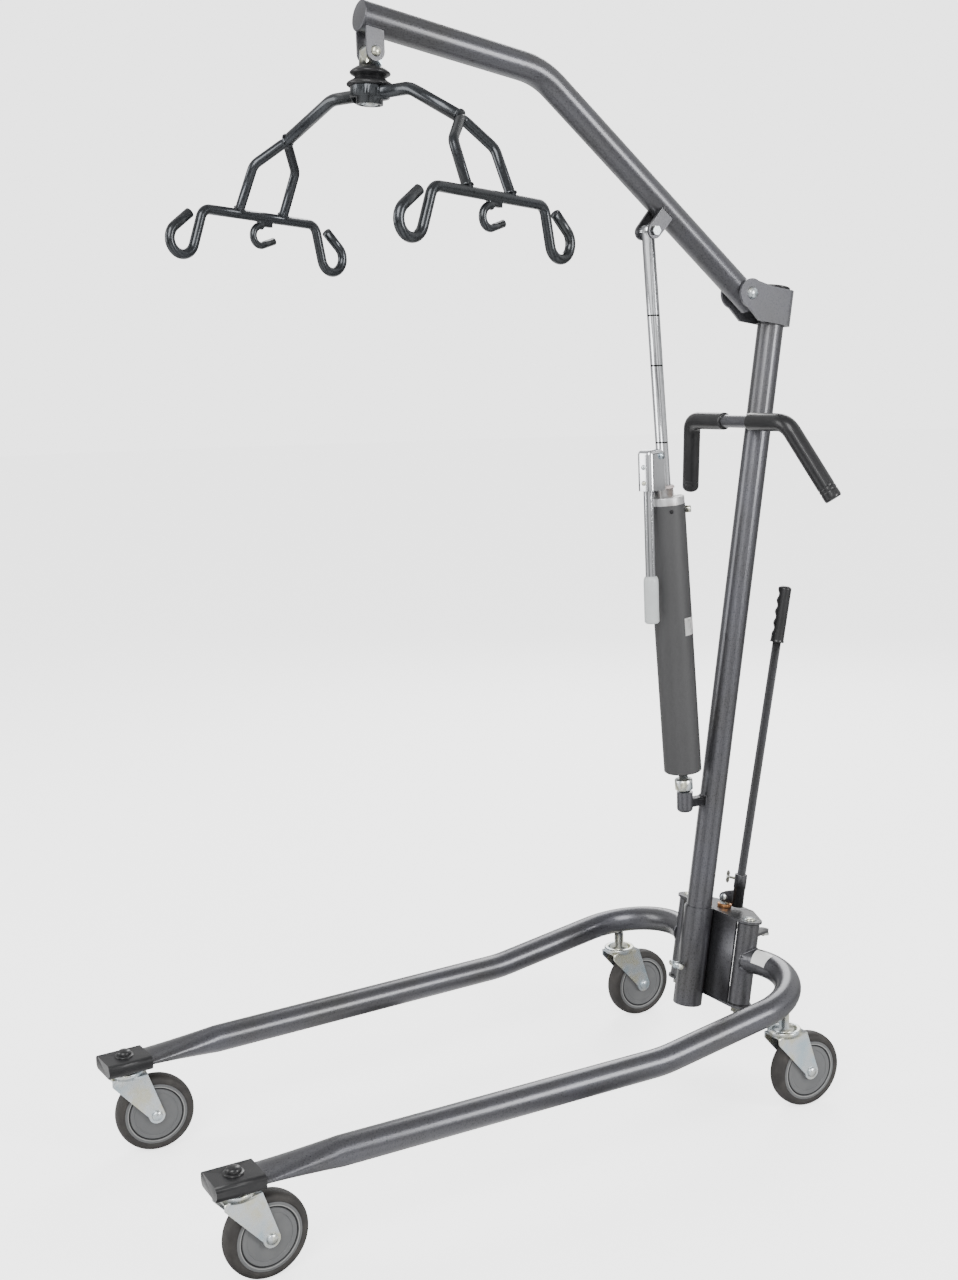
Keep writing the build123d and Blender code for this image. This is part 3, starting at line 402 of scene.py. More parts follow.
@dataclass(frozen=True)
class BlankLabel:
    """A paper label with grey bars where a real one has its print."""

    name: str = "blank_label"
    slot: str = "grey_plastic"

    def material(self) -> bpy.types.Material:
        """Returns the node material."""
        sketch = NodeSketch(self.name)
        uv = sketch.node("ShaderNodeUVMap", uv_map="UVMap").outputs[0]
        parts = sketch.node("ShaderNodeSeparateXYZ", {"Vector": uv})
        wave = sketch.node("ShaderNodeTexWave", {"Vector": uv, "Scale": 1.6, "Distortion": 0.0},
                           bands_direction="Y").outputs[1]
        bars = sketch.span(wave, 0.0, 0.55, 0.62, 0.7)
        inner = sketch.node("ShaderNodeMath", operation="COMPARE")
        sketch.feed(inner.inputs[0], parts.outputs[0])
        inner.inputs[1].default_value = 0.45
        inner.inputs[2].default_value = 0.36
        share = sketch.node("ShaderNodeMath", operation="MULTIPLY")
        sketch.feed(share.inputs[0], bars)
        sketch.feed(share.inputs[1], inner.outputs[0])
        paper = sketch.mix(sketch.span(sketch.noise(600.0), 0.0, 0.3), (0.72, 0.72, 0.71), (0.6, 0.6, 0.59))
        sketch.feed(sketch.shader.inputs["Base Color"], sketch.mix(share.outputs[0], paper, (0.2, 0.2, 0.21)))
        sketch.feed(sketch.shader.inputs["Roughness"], sketch.span(sketch.noise(300.0), 0.38, 0.5))
        return sketch.material


@dataclass(frozen=True)
class Finishes:
    """Every finish on the hoist, by what it is used for."""

    frame: HammeredEnamel = HammeredEnamel("frame_enamel", "frame_paint", (0.050, 0.049, 0.050),
                                            (0.105, 0.107, 0.112))
    yoke: HammeredEnamel = HammeredEnamel("yoke_enamel", "yoke_paint", (0.065, 0.066, 0.070),
                                          (0.115, 0.117, 0.122), roughness=0.46, metallic=0.6)
    spreader: HammeredEnamel = HammeredEnamel("spreader_enamel", "spreader_paint", (0.016, 0.018, 0.019),
                                              (0.044, 0.049, 0.052), cell=190.0, relief=0.0002,
                                              roughness=0.26)
    zinc: ZincPlate = ZincPlate("zinc_plate", "zinc", (0.60, 0.63, 0.64), (0.60, 0.59, 0.47),
                                (0.47, 0.57, 0.63))
    chrome: PolishedMetal = PolishedMetal("chrome_tube", "chrome", (0.66, 0.67, 0.69), (0.56, 0.57, 0.59))
    rod: PolishedMetal = PolishedMetal("ram_rod", "chrome", (0.66, 0.67, 0.69), (0.54, 0.55, 0.57), 0.07, 1.0,
                                       (1.1065, 1.232, 1.3125))
    silver: PolishedMetal = PolishedMetal("silver_paint", "pump_silver", (0.52, 0.52, 0.52),
                                          (0.30, 0.25, 0.22), 0.36, 0.75)
    copper: PolishedMetal = PolishedMetal("copper_bush", "copper_bush", (0.62, 0.30, 0.13),
                                          (0.42, 0.20, 0.09), 0.34, 0.9)
    pump: PowderCoat = PowderCoat("pump_coat", "pump_paint", (0.035, 0.035, 0.036), (0.068, 0.068, 0.070))
    black: Moulded = Moulded("black_plastic", "black_plastic", (0.008, 0.008, 0.009), (0.04, 0.04, 0.04),
                             0.36, coat=0.25)
    rubber: Moulded = Moulded("black_rubber", "black_rubber", (0.008, 0.008, 0.009), (0.034, 0.034, 0.035),
                              0.36, 1200.0, 0.0002, 0.25, 0.25)
    tyre: Moulded = Moulded("tyre_rubber", "tyre_rubber", (0.025, 0.023, 0.022), (0.070, 0.064, 0.058), 0.62,
                            900.0, 0.0002, 0.4)
    wheel: Moulded = Moulded("wheel_plastic", "wheel_plastic", (0.100, 0.102, 0.104), (0.145, 0.145, 0.142),
                             0.44, 800.0, 0.0001, 0.35)
    # painted shade: near-black plastic laid at the bottom of the wheel grooves and over the pump grip's
    # bottom hole, standing in for the shade in these hollows
    groove: Moulded = Moulded("groove_shadow", "wheel_plastic", (0.012, 0.012, 0.013),
                              (0.03, 0.03, 0.03), 0.6)
    ring: Moulded = Moulded("wheel_ring", "wheel_plastic", (0.24, 0.24, 0.235), (0.19, 0.19, 0.185), 0.4)
    grey: Moulded = Moulded("grey_plastic", "grey_plastic", (0.44, 0.46, 0.46), (0.36, 0.37, 0.37), 0.33,
                            900.0, 0.0001, 0.5, 0.2)
    wiper: Moulded = Moulded("rod_wiper", "grey_plastic", (0.42, 0.36, 0.35), (0.3, 0.27, 0.26), 0.5)
    label: BlankLabel = BlankLabel()


class Dresser:
    """Hands out each finish's material once and puts pieces on their bodies."""

    def __init__(self) -> None:
        """Starts with no materials made."""
        self.finishes = Finishes()
        self._made: dict[str, bpy.types.Material] = {}
        self.count = 0

    def material(self, finish: object) -> bpy.types.Material:
        """Material of a finish.

        Args:
            finish: one of the finishes.

        Returns:
            Its material, made on first use.
        """
        if finish.name not in self._made:
            self._made[finish.name] = finish.material()
        return self._made[finish.name]

    def node(self, finish: object, *names: str) -> None:
        """Shows CAD nodes as smooth copies in a finish.

        Args:
            finish: the finish.
            names: the nodes.
        """
        for name in names:
            cad = FRAME["nodes"][name]
            cad.data.materials.clear()
            cad.data.materials.append(self.material(finish))
            shape = bmesh.new()
            shape.from_mesh(cad.data)
            bmesh.ops.remove_doubles(shape, verts=shape.verts, dist=2e-6)
            bmesh.ops.dissolve_degenerate(shape, edges=shape.edges, dist=1e-6)
            mesh = bpy.data.meshes.new(f"{name}_smooth")
            shape.to_mesh(mesh)
            shape.free()
            mesh.materials.clear()
            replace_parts(self.piece(show(mesh, f"{name}_smooth", 32.0), cad["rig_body"], finish), name)

    def piece(self, obj: bpy.types.Object, body: str, finish: object) -> bpy.types.Object:
        """Finishes a new piece and lets it ride.

        Args:
            obj: the piece.
            body: the CAD body it moves with.
            finish: its finish.

        Returns:
            The piece.
        """
        obj.data.materials.append(self.material(finish))
        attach(obj, body)
        self.count += 1
        log.info("piece %s on %s", obj.name, body)
        return obj


# ---------------------------------------------------------------- shaping
def hand_over(shape: bmesh.types.BMesh, name: str, place: Matrix, crease: float = 38.0) -> bpy.types.Object:
    """Turns a finished bmesh into an object at the origin.

    Args:
        shape: the mesh, freed afterwards.
        name: the object's name.
        place: where the shape stands in the row frame.
        crease: edges sharper than this many degrees stay sharp.

    Returns:
        The object, linked to the scene.
    """
    bmesh.ops.remove_doubles(shape, verts=shape.verts, dist=1e-6)
    bmesh.ops.recalc_face_normals(shape, faces=shape.faces)
    bmesh.ops.transform(shape, matrix=place, verts=shape.verts)
    mesh = bpy.data.meshes.new(name)
    shape.to_mesh(mesh)
    shape.free()
    return show(mesh, name, crease)


def show(mesh: bpy.types.Mesh, name: str, crease: float = 38.0) -> bpy.types.Object:
    """Links a mesh to the scene as a smooth object.

    Args:
        mesh: the mesh.
        name: the object's name.
        crease: edges sharper than this many degrees stay sharp.

    Returns:
        The object.
    """
    mesh.shade_smooth()
    mesh.set_sharp_from_angle(angle=math.radians(crease))
    obj = bpy.data.objects.new(name, mesh)
    bpy.context.scene.collection.objects.link(obj)
    return obj


def spun(name: str, profile: Sequence[tuple[float, float]], place: Matrix, steps: int = 72,
         crease: float = 38.0) -> bpy.types.Object:
    """Round piece from a profile of radius and height turned about z.

    Args:
        name: the piece's name.
        profile: radius and height of each corner, closed where it starts and ends on one point.
        place: frame whose z is the axis.
        steps: facets of a full turn.
        crease: edges sharper than this many degrees stay sharp.

    Returns:
        The piece.
    """
    shape = bmesh.new()
    points = [shape.verts.new((radius, 0.0, height)) for radius, height in profile]
    lines = [shape.edges.new(pair) for pair in zip(points, points[1:])]
    bmesh.ops.spin(shape, geom=points + lines, cent=(0, 0, 0), axis=(0, 0, 1), angle=math.tau, steps=steps,
                   use_merge=True)
    return hand_over(shape, name, place, crease)


def rounded(corners: Sequence[Vector], radius: float, steps: int = 10) -> list[Vector]:
    """Line through corners with its bends rounded.

    Args:
        corners: the line's corners.
        radius: radius of each bend.
        steps: points of each bend.

    Returns:
        The line's points.
    """
    line = [corners[0]]
    for before, here, after in zip(corners, corners[1:], corners[2:]):
        back, on = (before - here).normalized(), (after - here).normalized()
        half = back.angle(on) / 2
        reach = radius / math.tan(half)
        centre = here + (back + on).normalized() * (radius / math.sin(half))
        start, end = here + back * reach - centre, here + on * reach - centre
        for step in range(steps + 1):
            line.append(centre + start.normalized().slerp(end.normalized(), step / steps) * radius)
    line.append(corners[-1])
    return line


def evenly(line: Sequence[Vector], gap: float) -> list[Vector]:
    """Points along a line at an even gap.

    Args:
        line: the line's points.
        gap: the wanted distance.

    Returns:
        The points, the first and last kept.
    """
    lengths = [(b - a).length for a, b in zip(line, line[1:])]
    total = sum(lengths)
    count = max(2, round(total / gap))
    points, index, passed = [], 0, 0.0
    for step in range(count + 1):
        target = total * step / count
        while index < len(lengths) - 1 and passed + lengths[index] < target:
            passed += lengths[index]
            index += 1
        share = (target - passed) / lengths[index]
        points.append(line[index].lerp(line[index + 1], min(1.0, share)))
    return points


def swept(name: str, line: Sequence[Vector], radius: float, scales: Sequence[float] | None = None,
          place: Matrix | None = None, closed: bool = False, sides: int = 5) -> bpy.types.Object:
    """Round bar along a line.

    Args:
        name: the piece's name.
        line: its centre line.
        radius: its radius.
        scales: the radius's factor at each point.
        place: frame of the line.
        closed: True for a loop.
        sides: how finely the bar is rounded.

    Returns:
        The piece.
    """
    curve = bpy.data.curves.new(name, "CURVE")
    curve.dimensions = "3D"
    curve.bevel_depth = radius
    curve.bevel_resolution = sides
    curve.use_fill_caps = True
    spline = curve.splines.new("POLY")
    spline.points.add(len(line) - 1)
    for index, point in enumerate(line):
        spline.points[index].co = (*point, 1.0)
        spline.points[index].radius = 1.0 if scales is None else scales[index]
    spline.use_cyclic_u = closed
    bar = bpy.data.objects.new(name, curve)
    bpy.context.scene.collection.objects.link(bar)
    mesh = bpy.data.meshes.new_from_object(bar.evaluated_get(bpy.context.evaluated_depsgraph_get()))
    bpy.data.objects.remove(bar)
    shape = bmesh.new()
    shape.from_mesh(mesh)
    bpy.data.meshes.remove(mesh)
    return hand_over(shape, name, place or Matrix.Identity(4), 50.0)


def bead(name: str, line: Sequence[Vector], place: Matrix, radius: float = 0.0016,
         closed: bool = False) -> bpy.types.Object:
    """Weld bead along a line, with the ripples of its passes.

    Args:
        name: the piece's name.
        line: the joint it fills.
        place: frame of the line.
        radius: half its width.
        closed: True for a loop.

    Returns:
        The piece.
    """
    points = evenly([*line, line[0]] if closed else list(line), 0.0009)
    if closed:
        points.pop()
    scales = [1.0 + 0.16 * math.sin(index * 2.1) + 0.07 * math.sin(index * 0.83) for index in
              range(len(points))]
    return swept(name, points, radius, scales, place, closed, 2)


def ring(centre: Vector, axis: Vector, radius: float, steps: int = 40, start: float = 0.0,
         turn: float = math.tau) -> list[Vector]:
    """Points of a circle or an arc.

    Args:
        centre: its centre.
        axis: its axis.
        radius: its radius.
        steps: how many points.
        start: angle of the first point.
        turn: how far it goes.

    Returns:
        The points.
    """
    out = axis.normalized()
    first = (out.orthogonal()).normalized()
    second = out.cross(first)
    return [centre + first * radius * math.cos(start + turn * k / steps)
            + second * radius * math.sin(start + turn * k / steps) for k in range(steps)]


def joined(name: str, parts: Iterable[bpy.types.Object], crease: float = 38.0) -> bpy.types.Object:
    """Several shaped parts as one piece.

    Args:
        name: the piece's name.
        parts: the parts, which are removed.
        crease: edges sharper than this many degrees stay sharp.

    Returns:
        The piece.
    """
    shape = bmesh.new()
    for part in list(parts):
        shape.from_mesh(part.data)
        bpy.data.objects.remove(part)
    mesh = bpy.data.meshes.new(name)
    shape.to_mesh(mesh)
    shape.free()
    return show(mesh, name, crease)


def label_sheet() -> bmesh.types.BMesh:
    """Returns a flat sheet one unit wide and high, with its own UV map."""
    shape = bmesh.new()
    bmesh.ops.create_grid(shape, x_segments=16, y_segments=12, size=0.5, calc_uvs=True)
    sheet = shape.loops.layers.uv.verify()
    for face in shape.faces:
        for loop in face.loops:
            loop[sheet].uv = (loop.vert.co.x + 0.5, loop.vert.co.y + 0.5)
    return shape


def wrapped_label(name: str, radius: float, width: float, height: float, middle: float,
                  place: Matrix) -> bpy.types.Object:
    """Thin label that lies round a tube whose axis is z.

    Args:
        name: the piece's name.
        radius: the tube's radius.
        width: its width round the tube.
        height: its height along the tube.
        middle: angle of its middle, from x.
        place: frame of the tube.

    Returns:
        The piece.
    """
    shape = label_sheet()
    for vert in shape.verts:
        angle = middle + vert.co.x * width / radius
        vert.co = Vector((radius * math.cos(angle), radius * math.sin(angle), vert.co.y * height))
    bmesh.ops.solidify(shape, geom=shape.faces, thickness=-0.00015)
    return hand_over(shape, name, place)


# ---------------------------------------------------------------- sub-assemblies
@dataclass
class MastAndBase:
    """Mast, socket, bracket, yoke, boom and the welds that hold their plates."""

    handle_height: float = 1.1343
    seat_height: float = 0.481
    bead_radius: float = 0.0017

    def dress(self, wear: Dresser) -> None:
        """Gives the CAD nodes their finishes.

        Args:
            wear: the dresser.
        """
        look = wear.finishes
        wear.node(look.frame, "mast_tube", "base_socket", "base_bracket", "handle_bar", "pump_seat",
                  "boom_tube", "pump_clevis", "leg_left", "leg_right", "leg_pivot_left", "leg_pivot_right")
        wear.node(look.yoke, "boom_yoke", "hanger_lugs")
        wear.node(look.zinc, "pivot_bolts", "boom_pivot_bolt", "mast_lock_screw", "clevis_bolt",
                  "swivel_bolt", "swivel_nut", "swivel_eye")
        wear.node(look.black, "mast_cap", "pivot_seals")

    def build(self, wear: Dresser) -> None:
        """Makes the weld beads.

        Args:
            wear: the dresser.
        """
        look = wear.finishes
        parts = [bead("stub", ring(Vector((0, 0.1605, self.handle_height)), Vector((0, 1, 0)), 0.0108), HOIST,
                      self.bead_radius, True)]
        seat = [Vector((x, 0.0565, self.seat_height + z)) for x, z in
                ((-0.0095, -0.0075), (0.0095, -0.0075), (0.0095, 0.0075), (-0.0095, 0.0075))]
        parts.append(bead("seat", seat, HOIST, self.bead_radius, True))
        for side in (-1.0, 1.0):
            web = [Vector((side * 0.0072, 0.0246, 0.139)), Vector((side * 0.0072, 0.0246, 0.283))]
            parts.append(bead("web", web, MAST, self.bead_radius))
        cheek = ring(Vector((0, 0, 1.3111)), Vector((0, 0, 1)), 0.0232, 60)
        parts.append(bead("cheek", cheek, MAST, 0.0011, True))
        wear.piece(joined("mast_welds", parts), "base", look.frame)
        parts = []
        for side in (-1.0, 1.0):
            lug = [Vector((side * 0.0178, y, 1.7190 - (y + 0.5335) * 0.188)) for y in (-0.5485, -0.5185)]
            parts.append(bead("lug", lug, HOIST, self.bead_radius))
            foot = Vector((side * 0.0198, -0.047 + 0.645 * 0.0391, 1.445 + 0.764 * 0.0391))
            along = Vector((0, -0.764, 0.645))
            parts.append(bead("ear", [foot - along * 0.014, foot + along * 0.011], HOIST, self.bead_radius))
        wear.piece(joined("boom_welds", parts), "boom", look.frame)


@dataclass
class Legs:
    """Both legs: domed bolt caps on the front sleeves, pivot welds and a label."""

    cap_height: float = 0.1672
    end: tuple[float, float, float] = (0.0839, 0.0811, 0.2069)
    corner: tuple[float, float, float] = (0.2553, 0.1438, 0.2100)
    bend: tuple[float, float, float] = (0.2540, -0.2220, 0.1560)
    pivot_radius: float = 0.0192
    bend_radius: float = 0.115
    label_run: float = 0.046
    label_width: float = 0.028
    label_length: float = 0.038
    label_gap: float = 0.0004

    def dress(self, wear: Dresser) -> None:
        """Gives the CAD nodes their finishes.

        Args:
            wear: the dresser.
        """
        wear.node(wear.finishes.black, "leg_cap_left", "leg_cap_right")
        wear.node(wear.finishes.zinc, "caster_stems_left", "caster_stems_right")

    def build(self, wear: Dresser) -> None:
        """Makes the bolt caps, the saddle welds and the label.

        Args:
            wear: the dresser.
        """
        look = wear.finishes
        dome = [(0.0, 0.0105), (0.004, 0.0103), (0.0078, 0.0094), (0.0102, 0.0076), (0.0112, 0.0048),
                (0.0113, 0.0026), (0.0142, 0.0022), (0.0152, 0.0014), (0.0152, 0.0), (0.0, 0.0)]
        for hand in Hand:
            side, sign = hand.value
            _, x, y, _ = Corner.FRONT_LEFT.value
            spot = HOIST @ Matrix.Translation((sign * x, y, self.cap_height))
            wear.piece(spun(f"bolt_cap_{side}", dome, spot, 64, 60.0), f"{side}_leg", look.black)
            wear.piece(bead(f"pivot_weld_{side}", self.saddle(sign), HOIST, 0.0018, True), f"{side}_leg",
                       look.frame)
        wear.piece(self.label(), "left_leg", look.label)

    def label(self) -> bpy.types.Object:
        """Returns the label that follows the bend of the left leg beside its pivot."""
        end, corner, bend = (Vector(point) for point in (self.end, self.corner, self.bend))
        run = (corner - end).normalized()
        inward = (bend - corner).normalized()
        inward = (inward - run * inward.dot(run)).normalized()
        side = inward.cross(run)
        straight = (corner - end).length - self.bend_radius * math.tan((bend - corner).angle(run) / 2)
        facing = Vector((0.55, -0.45, 0.70))
        middle = math.atan2(facing.dot(inward), facing.dot(side))
        shape = label_sheet()
        for vert in shape.verts:
            along = self.label_run + vert.co.y * self.label_length
            turn = max(along - straight, 0.0) / self.bend_radius
            centre = (end + run * (min(along, straight) + self.bend_radius * math.sin(turn))
                      + inward * self.bend_radius * (1.0 - math.cos(turn)))
            within = inward * math.cos(turn) - run * math.sin(turn)
            angle = middle + vert.co.x * self.label_width / TUBE
            vert.co = centre + (side * math.cos(angle) + within * math.sin(angle)) * (TUBE + self.label_gap)
        bmesh.ops.recalc_face_normals(shape, faces=shape.faces)
        bmesh.ops.solidify(shape, geom=shape.faces, thickness=-0.00015)
        return hand_over(shape, "leg_label", HOIST)

    def saddle(self, sign: float) -> list[Vector]:
        """Line where a leg meets its pivot tube.

        Args:
            sign: the side's sign of x.

        Returns:
            The line's points in the hoist frame.
        """
        away = Vector((sign * 0.939, 0.3435, 0.0)).normalized()
        up = Vector((0.0, 0.159, 0.987))
        across = up.cross(away).normalized()
        centre = Vector((sign * self.end[0], self.end[1], self.end[2]))
        points = []
        for step in range(72):
            angle = math.tau * step / 72
            aside = TUBE * math.cos(angle)
            reach = math.sqrt(max(self.pivot_radius ** 2 - aside ** 2, 4e-6))
            points.append(centre + across * aside + up * TUBE * math.sin(angle) + away * reach)
        return points


@dataclass
class Casters:
    """Four casters with grooved wheels and rounded tyres."""

    trail: float = 0.0418
    tread: float = 0.0635
    rim: float = 0.0502
    half: float = 0.0155

    def dress(self, wear: Dresser) -> None:
        """Gives forks and axles their finishes.

        Args:
            wear: the dresser.
        """
        for corner in Corner:
            wear.node(wear.finishes.zinc, f"fork_{corner.value[0]}", f"axle_{corner.value[0]}")

    def build(self, wear: Dresser) -> None:
        """Makes the wheels and tyres that stand for the plain CAD ones.

        Args:
            wear: the dresser.
        """
        look = wear.finishes
        h = self.half
        face = [(0.00606, h + 0.0021), (0.0132, h + 0.0021), (0.0140, h + 0.0013), (0.0146, h - 0.0022),
                (0.0350, h - 0.0024), (0.0356, h - 0.0016), (0.0416, h - 0.0012), (0.0422, h - 0.0026),
                (0.0442, h - 0.0026), (0.0448, h - 0.0012), (0.0480, h - 0.0006), (self.rim, h - 0.0012)]
        wheel = [*face, *((r, -z) for r, z in reversed(face)), face[0]]
        flank = [(self.rim, h - 0.0014), (0.0512, h - 0.0002), (0.0545, h), (0.0575, h - 0.0006),
                 (0.0602, h - 0.0024), (0.0621, h - 0.0058), (0.0631, h - 0.0100)]
        tyre = [*flank, (self.tread, 0.0), *((r, -z) for r, z in reversed(flank)), flank[0]]
        # painted shade: a thin ring that fills the bottom of each wheel groove, in the near-black groove
        # finish
        groove = [(0.0423, h - 0.0020), (0.0441, h - 0.0020), (0.0441, h - 0.0030), (0.0423, h - 0.0030),
                  (0.0423, h - 0.0020)]
        line = [(0.0449, h - 0.0007), (0.0462, h - 0.0007), (0.0462, h - 0.0018), (0.0449, h - 0.0018),
                (0.0449, h - 0.0007)]
        for corner in Corner:
            name = corner.value[0]
            body = f"wheel_{name}"
            place = (caster_frame(corner) @ Matrix.Translation((0.0, self.trail, self.tread))
                     @ Matrix.Rotation(math.pi / 2, 4, "Y"))
            flip = place @ Matrix.Rotation(math.pi, 4, "X")
            disc = wear.piece(spun(f"wheel_disc_{name}", wheel, place, 96), body, look.wheel)
            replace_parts(disc, f"hub_{name}")
            band = wear.piece(spun(f"tyre_band_{name}", tyre, place, 128, 50.0), body, look.tyre)
            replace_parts(band, f"tyre_{name}")
            # painted shade rings on both faces of the wheel
            grooves = joined(f"wheel_groove_painted_shade_{name}", [spun("g", groove, p, 96) for p in (place, flip)])
            wear.piece(grooves, body, look.groove)
            lines = joined(f"wheel_line_{name}", [spun("l", line, p, 96) for p in (place, flip)])
            wear.piece(lines, body, look.ring)


@dataclass
class PushHandle:
    """Rubber grips of the push handle, with two grooves near each end."""

    corner_x: float = 0.1264
    tip: tuple[float, float, float] = (0.1902, 0.1798, 1.0130)
    radius: float = 0.0150
    bend: float = 0.030
    step: float = 0.0009
    grooves: tuple[float, ...] = (0.016, 0.023)
    groove_half: float = 0.0011
    tip_round: float = 0.006
    root_round: float = 0.003

    def dress(self, wear: Dresser) -> None:
        """Leaves the bar in the frame's finish.

        Args:
            wear: the dresser.
        """
        log.info("push handle in %s", wear.finishes.frame.name)

    def build(self, wear: Dresser) -> None:
        """Makes both grips.

        Args:
            wear: the dresser.
        """
        for hand in Hand:
            side, sign = hand.value
            corners = [Vector((sign * 0.034, 0.136, 1.1343)), Vector((sign * self.corner_x, 0.136, 1.1343)),
                       Vector((sign * self.tip[0], self.tip[1], self.tip[2]))]
            on = (corners[2] - corners[1]).normalized()
            corners[2] = corners[2] + on * 0.004
            points = evenly(rounded(corners, self.bend, 14), self.step)
            length = self.step * len(points)
            scales = [self.section(index * self.step, length) for index in range(len(points))]
            grip = swept(f"rubber_grip_{side}", points, self.radius, scales, HOIST, False, 10)
            wear.piece(grip, "base", wear.finishes.rubber)
            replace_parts(grip, f"handle_grip_{side}")

    def section(self, run: float, length: float) -> float:
        """Share of the grip's full radius at a distance along it.

        Args:
            run: distance from the inner end.
            length: the grip's whole length.

        Returns:
            The share.
        """
        left = length - run
        for groove in self.grooves:
            if abs(left - groove) < self.groove_half:
                return 0.945
        if left < self.tip_round:
            return 0.80 + 0.20 * math.sqrt(max(0.0, 1.0 - ((self.tip_round - left) / self.tip_round) ** 2))
        if run < self.root_round:
            return 0.88 + 0.12 * math.sqrt(max(0.0, 1.0 - ((self.root_round - run) / self.root_round) ** 2))
        return 1.0


@dataclass
class LegShifter:
    """Leg shifter: lever foot details and the finger grip."""

    offset: float = 0.025
    tilt: float = 1.6
    bottom: float = 0.3382
    grip_start: float = 0.4338
    grip_length: float = 0.099

    def dress(self, wear: Dresser) -> None:
        """Gives the CAD nodes their finishes.

        Args:
            wear: the dresser.
        """
        look = wear.finishes
        wear.node(look.frame, "shifter_lever")
        wear.node(look.zinc, "shifter_shaft", "shifter_link_left", "shifter_link_right")
        wear.node(look.copper, "shifter_bush")

    def build(self, wear: Dresser) -> None:
        """Makes the finger grip, the tilt bolt's head and the winged screw.

        Args:
            wear: the dresser.
        """
        look = wear.finishes
        lever = (SHIFTER @ Matrix.Translation((self.offset, 0.0, self.bottom))
                 @ Matrix.Rotation(math.radians(self.tilt), 4, "Y"))
        start = self.grip_start
        points = evenly([Vector((0, 0, start)), Vector((0, 0, start + self.grip_length))], 0.0012)
        count = len(points) - 1
        scales = [self.outline(index / count) for index in range(len(points))]
        grip = swept("finger_grip", points, 0.0115, scales, None, False, 12)
        shape = bmesh.new()
        shape.from_mesh(grip.data)
        for vert in shape.verts:
            run = (vert.co.z - start) / self.grip_length
            if vert.co.x < -0.002 and 0.14 < run < 0.94:
                wave = 0.5 - 0.5 * math.cos((run - 0.14) / 0.80 * 4 * math.tau)
                vert.co.x += wave * 0.0030 * min(1.0, -vert.co.x / 0.006)
        bpy.data.objects.remove(grip)
        grip = hand_over(shape, "finger_grip", lever, 60.0)
        wear.piece(grip, "shift_lever", look.rubber)
        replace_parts(grip, "shifter_grip")
        head = [(0.0, 0.0044), (0.0034, 0.0040), (0.0058, 0.0026), (0.0066, 0.0), (0.0, 0.0)]
        bolt = SHIFTER @ Matrix.Translation((0.0, -0.0073, 0.3072)) @ Matrix.Rotation(math.pi / 2, 4, "X")
        wear.piece(spun("tilt_bolt_head", head, bolt, 40), "shift_lever", look.zinc)
        stem = SHIFTER @ Matrix.Translation((self.offset - 0.0105, 0.0, 0.3435)) @ Matrix.Rotation(
            -math.pi / 2, 4, "Y")
        shank = [(0.0, 0.017), (0.0022, 0.0168), (0.0026, 0.016), (0.0026, 0.0), (0.0, 0.0)]
        parts = [spun("shank", shank, stem, 24)]
        wing = [(0.0, 0.0015), (0.0030, 0.0011), (0.0034, 0.0), (0.0030, -0.0011), (0.0, -0.0015)]
        for turn in (0.0, math.pi):
            ear = stem @ Matrix.Translation((0.0, 0.0, 0.0145)) @ Matrix.Rotation(turn, 4, "Z") @ (
                Matrix.Translation((0.0058, 0.0, 0.0))) @ Matrix.Rotation(math.pi / 2, 4, "X") @ (
                Matrix.Diagonal((1.7, 1.0, 1.0, 1.0)))
            parts.append(spun("wing", wing, ear, 32))
        wear.piece(joined("collar_wing_screw", parts), "shift_lever", look.zinc)

    def outline(self, run: float) -> float:
        """Share of the grip's full radius at a share of its length.

        Args:
            run: 0 at the lower end, 1 at the top.

        Returns:
            The share.
        """
        if run > 0.955:
            return max(0.55, math.sqrt(max(0.0, 1.0 - ((run - 0.955) / 0.05) ** 2)))
        if run < 0.035:
            return 1.06
        return 1.0


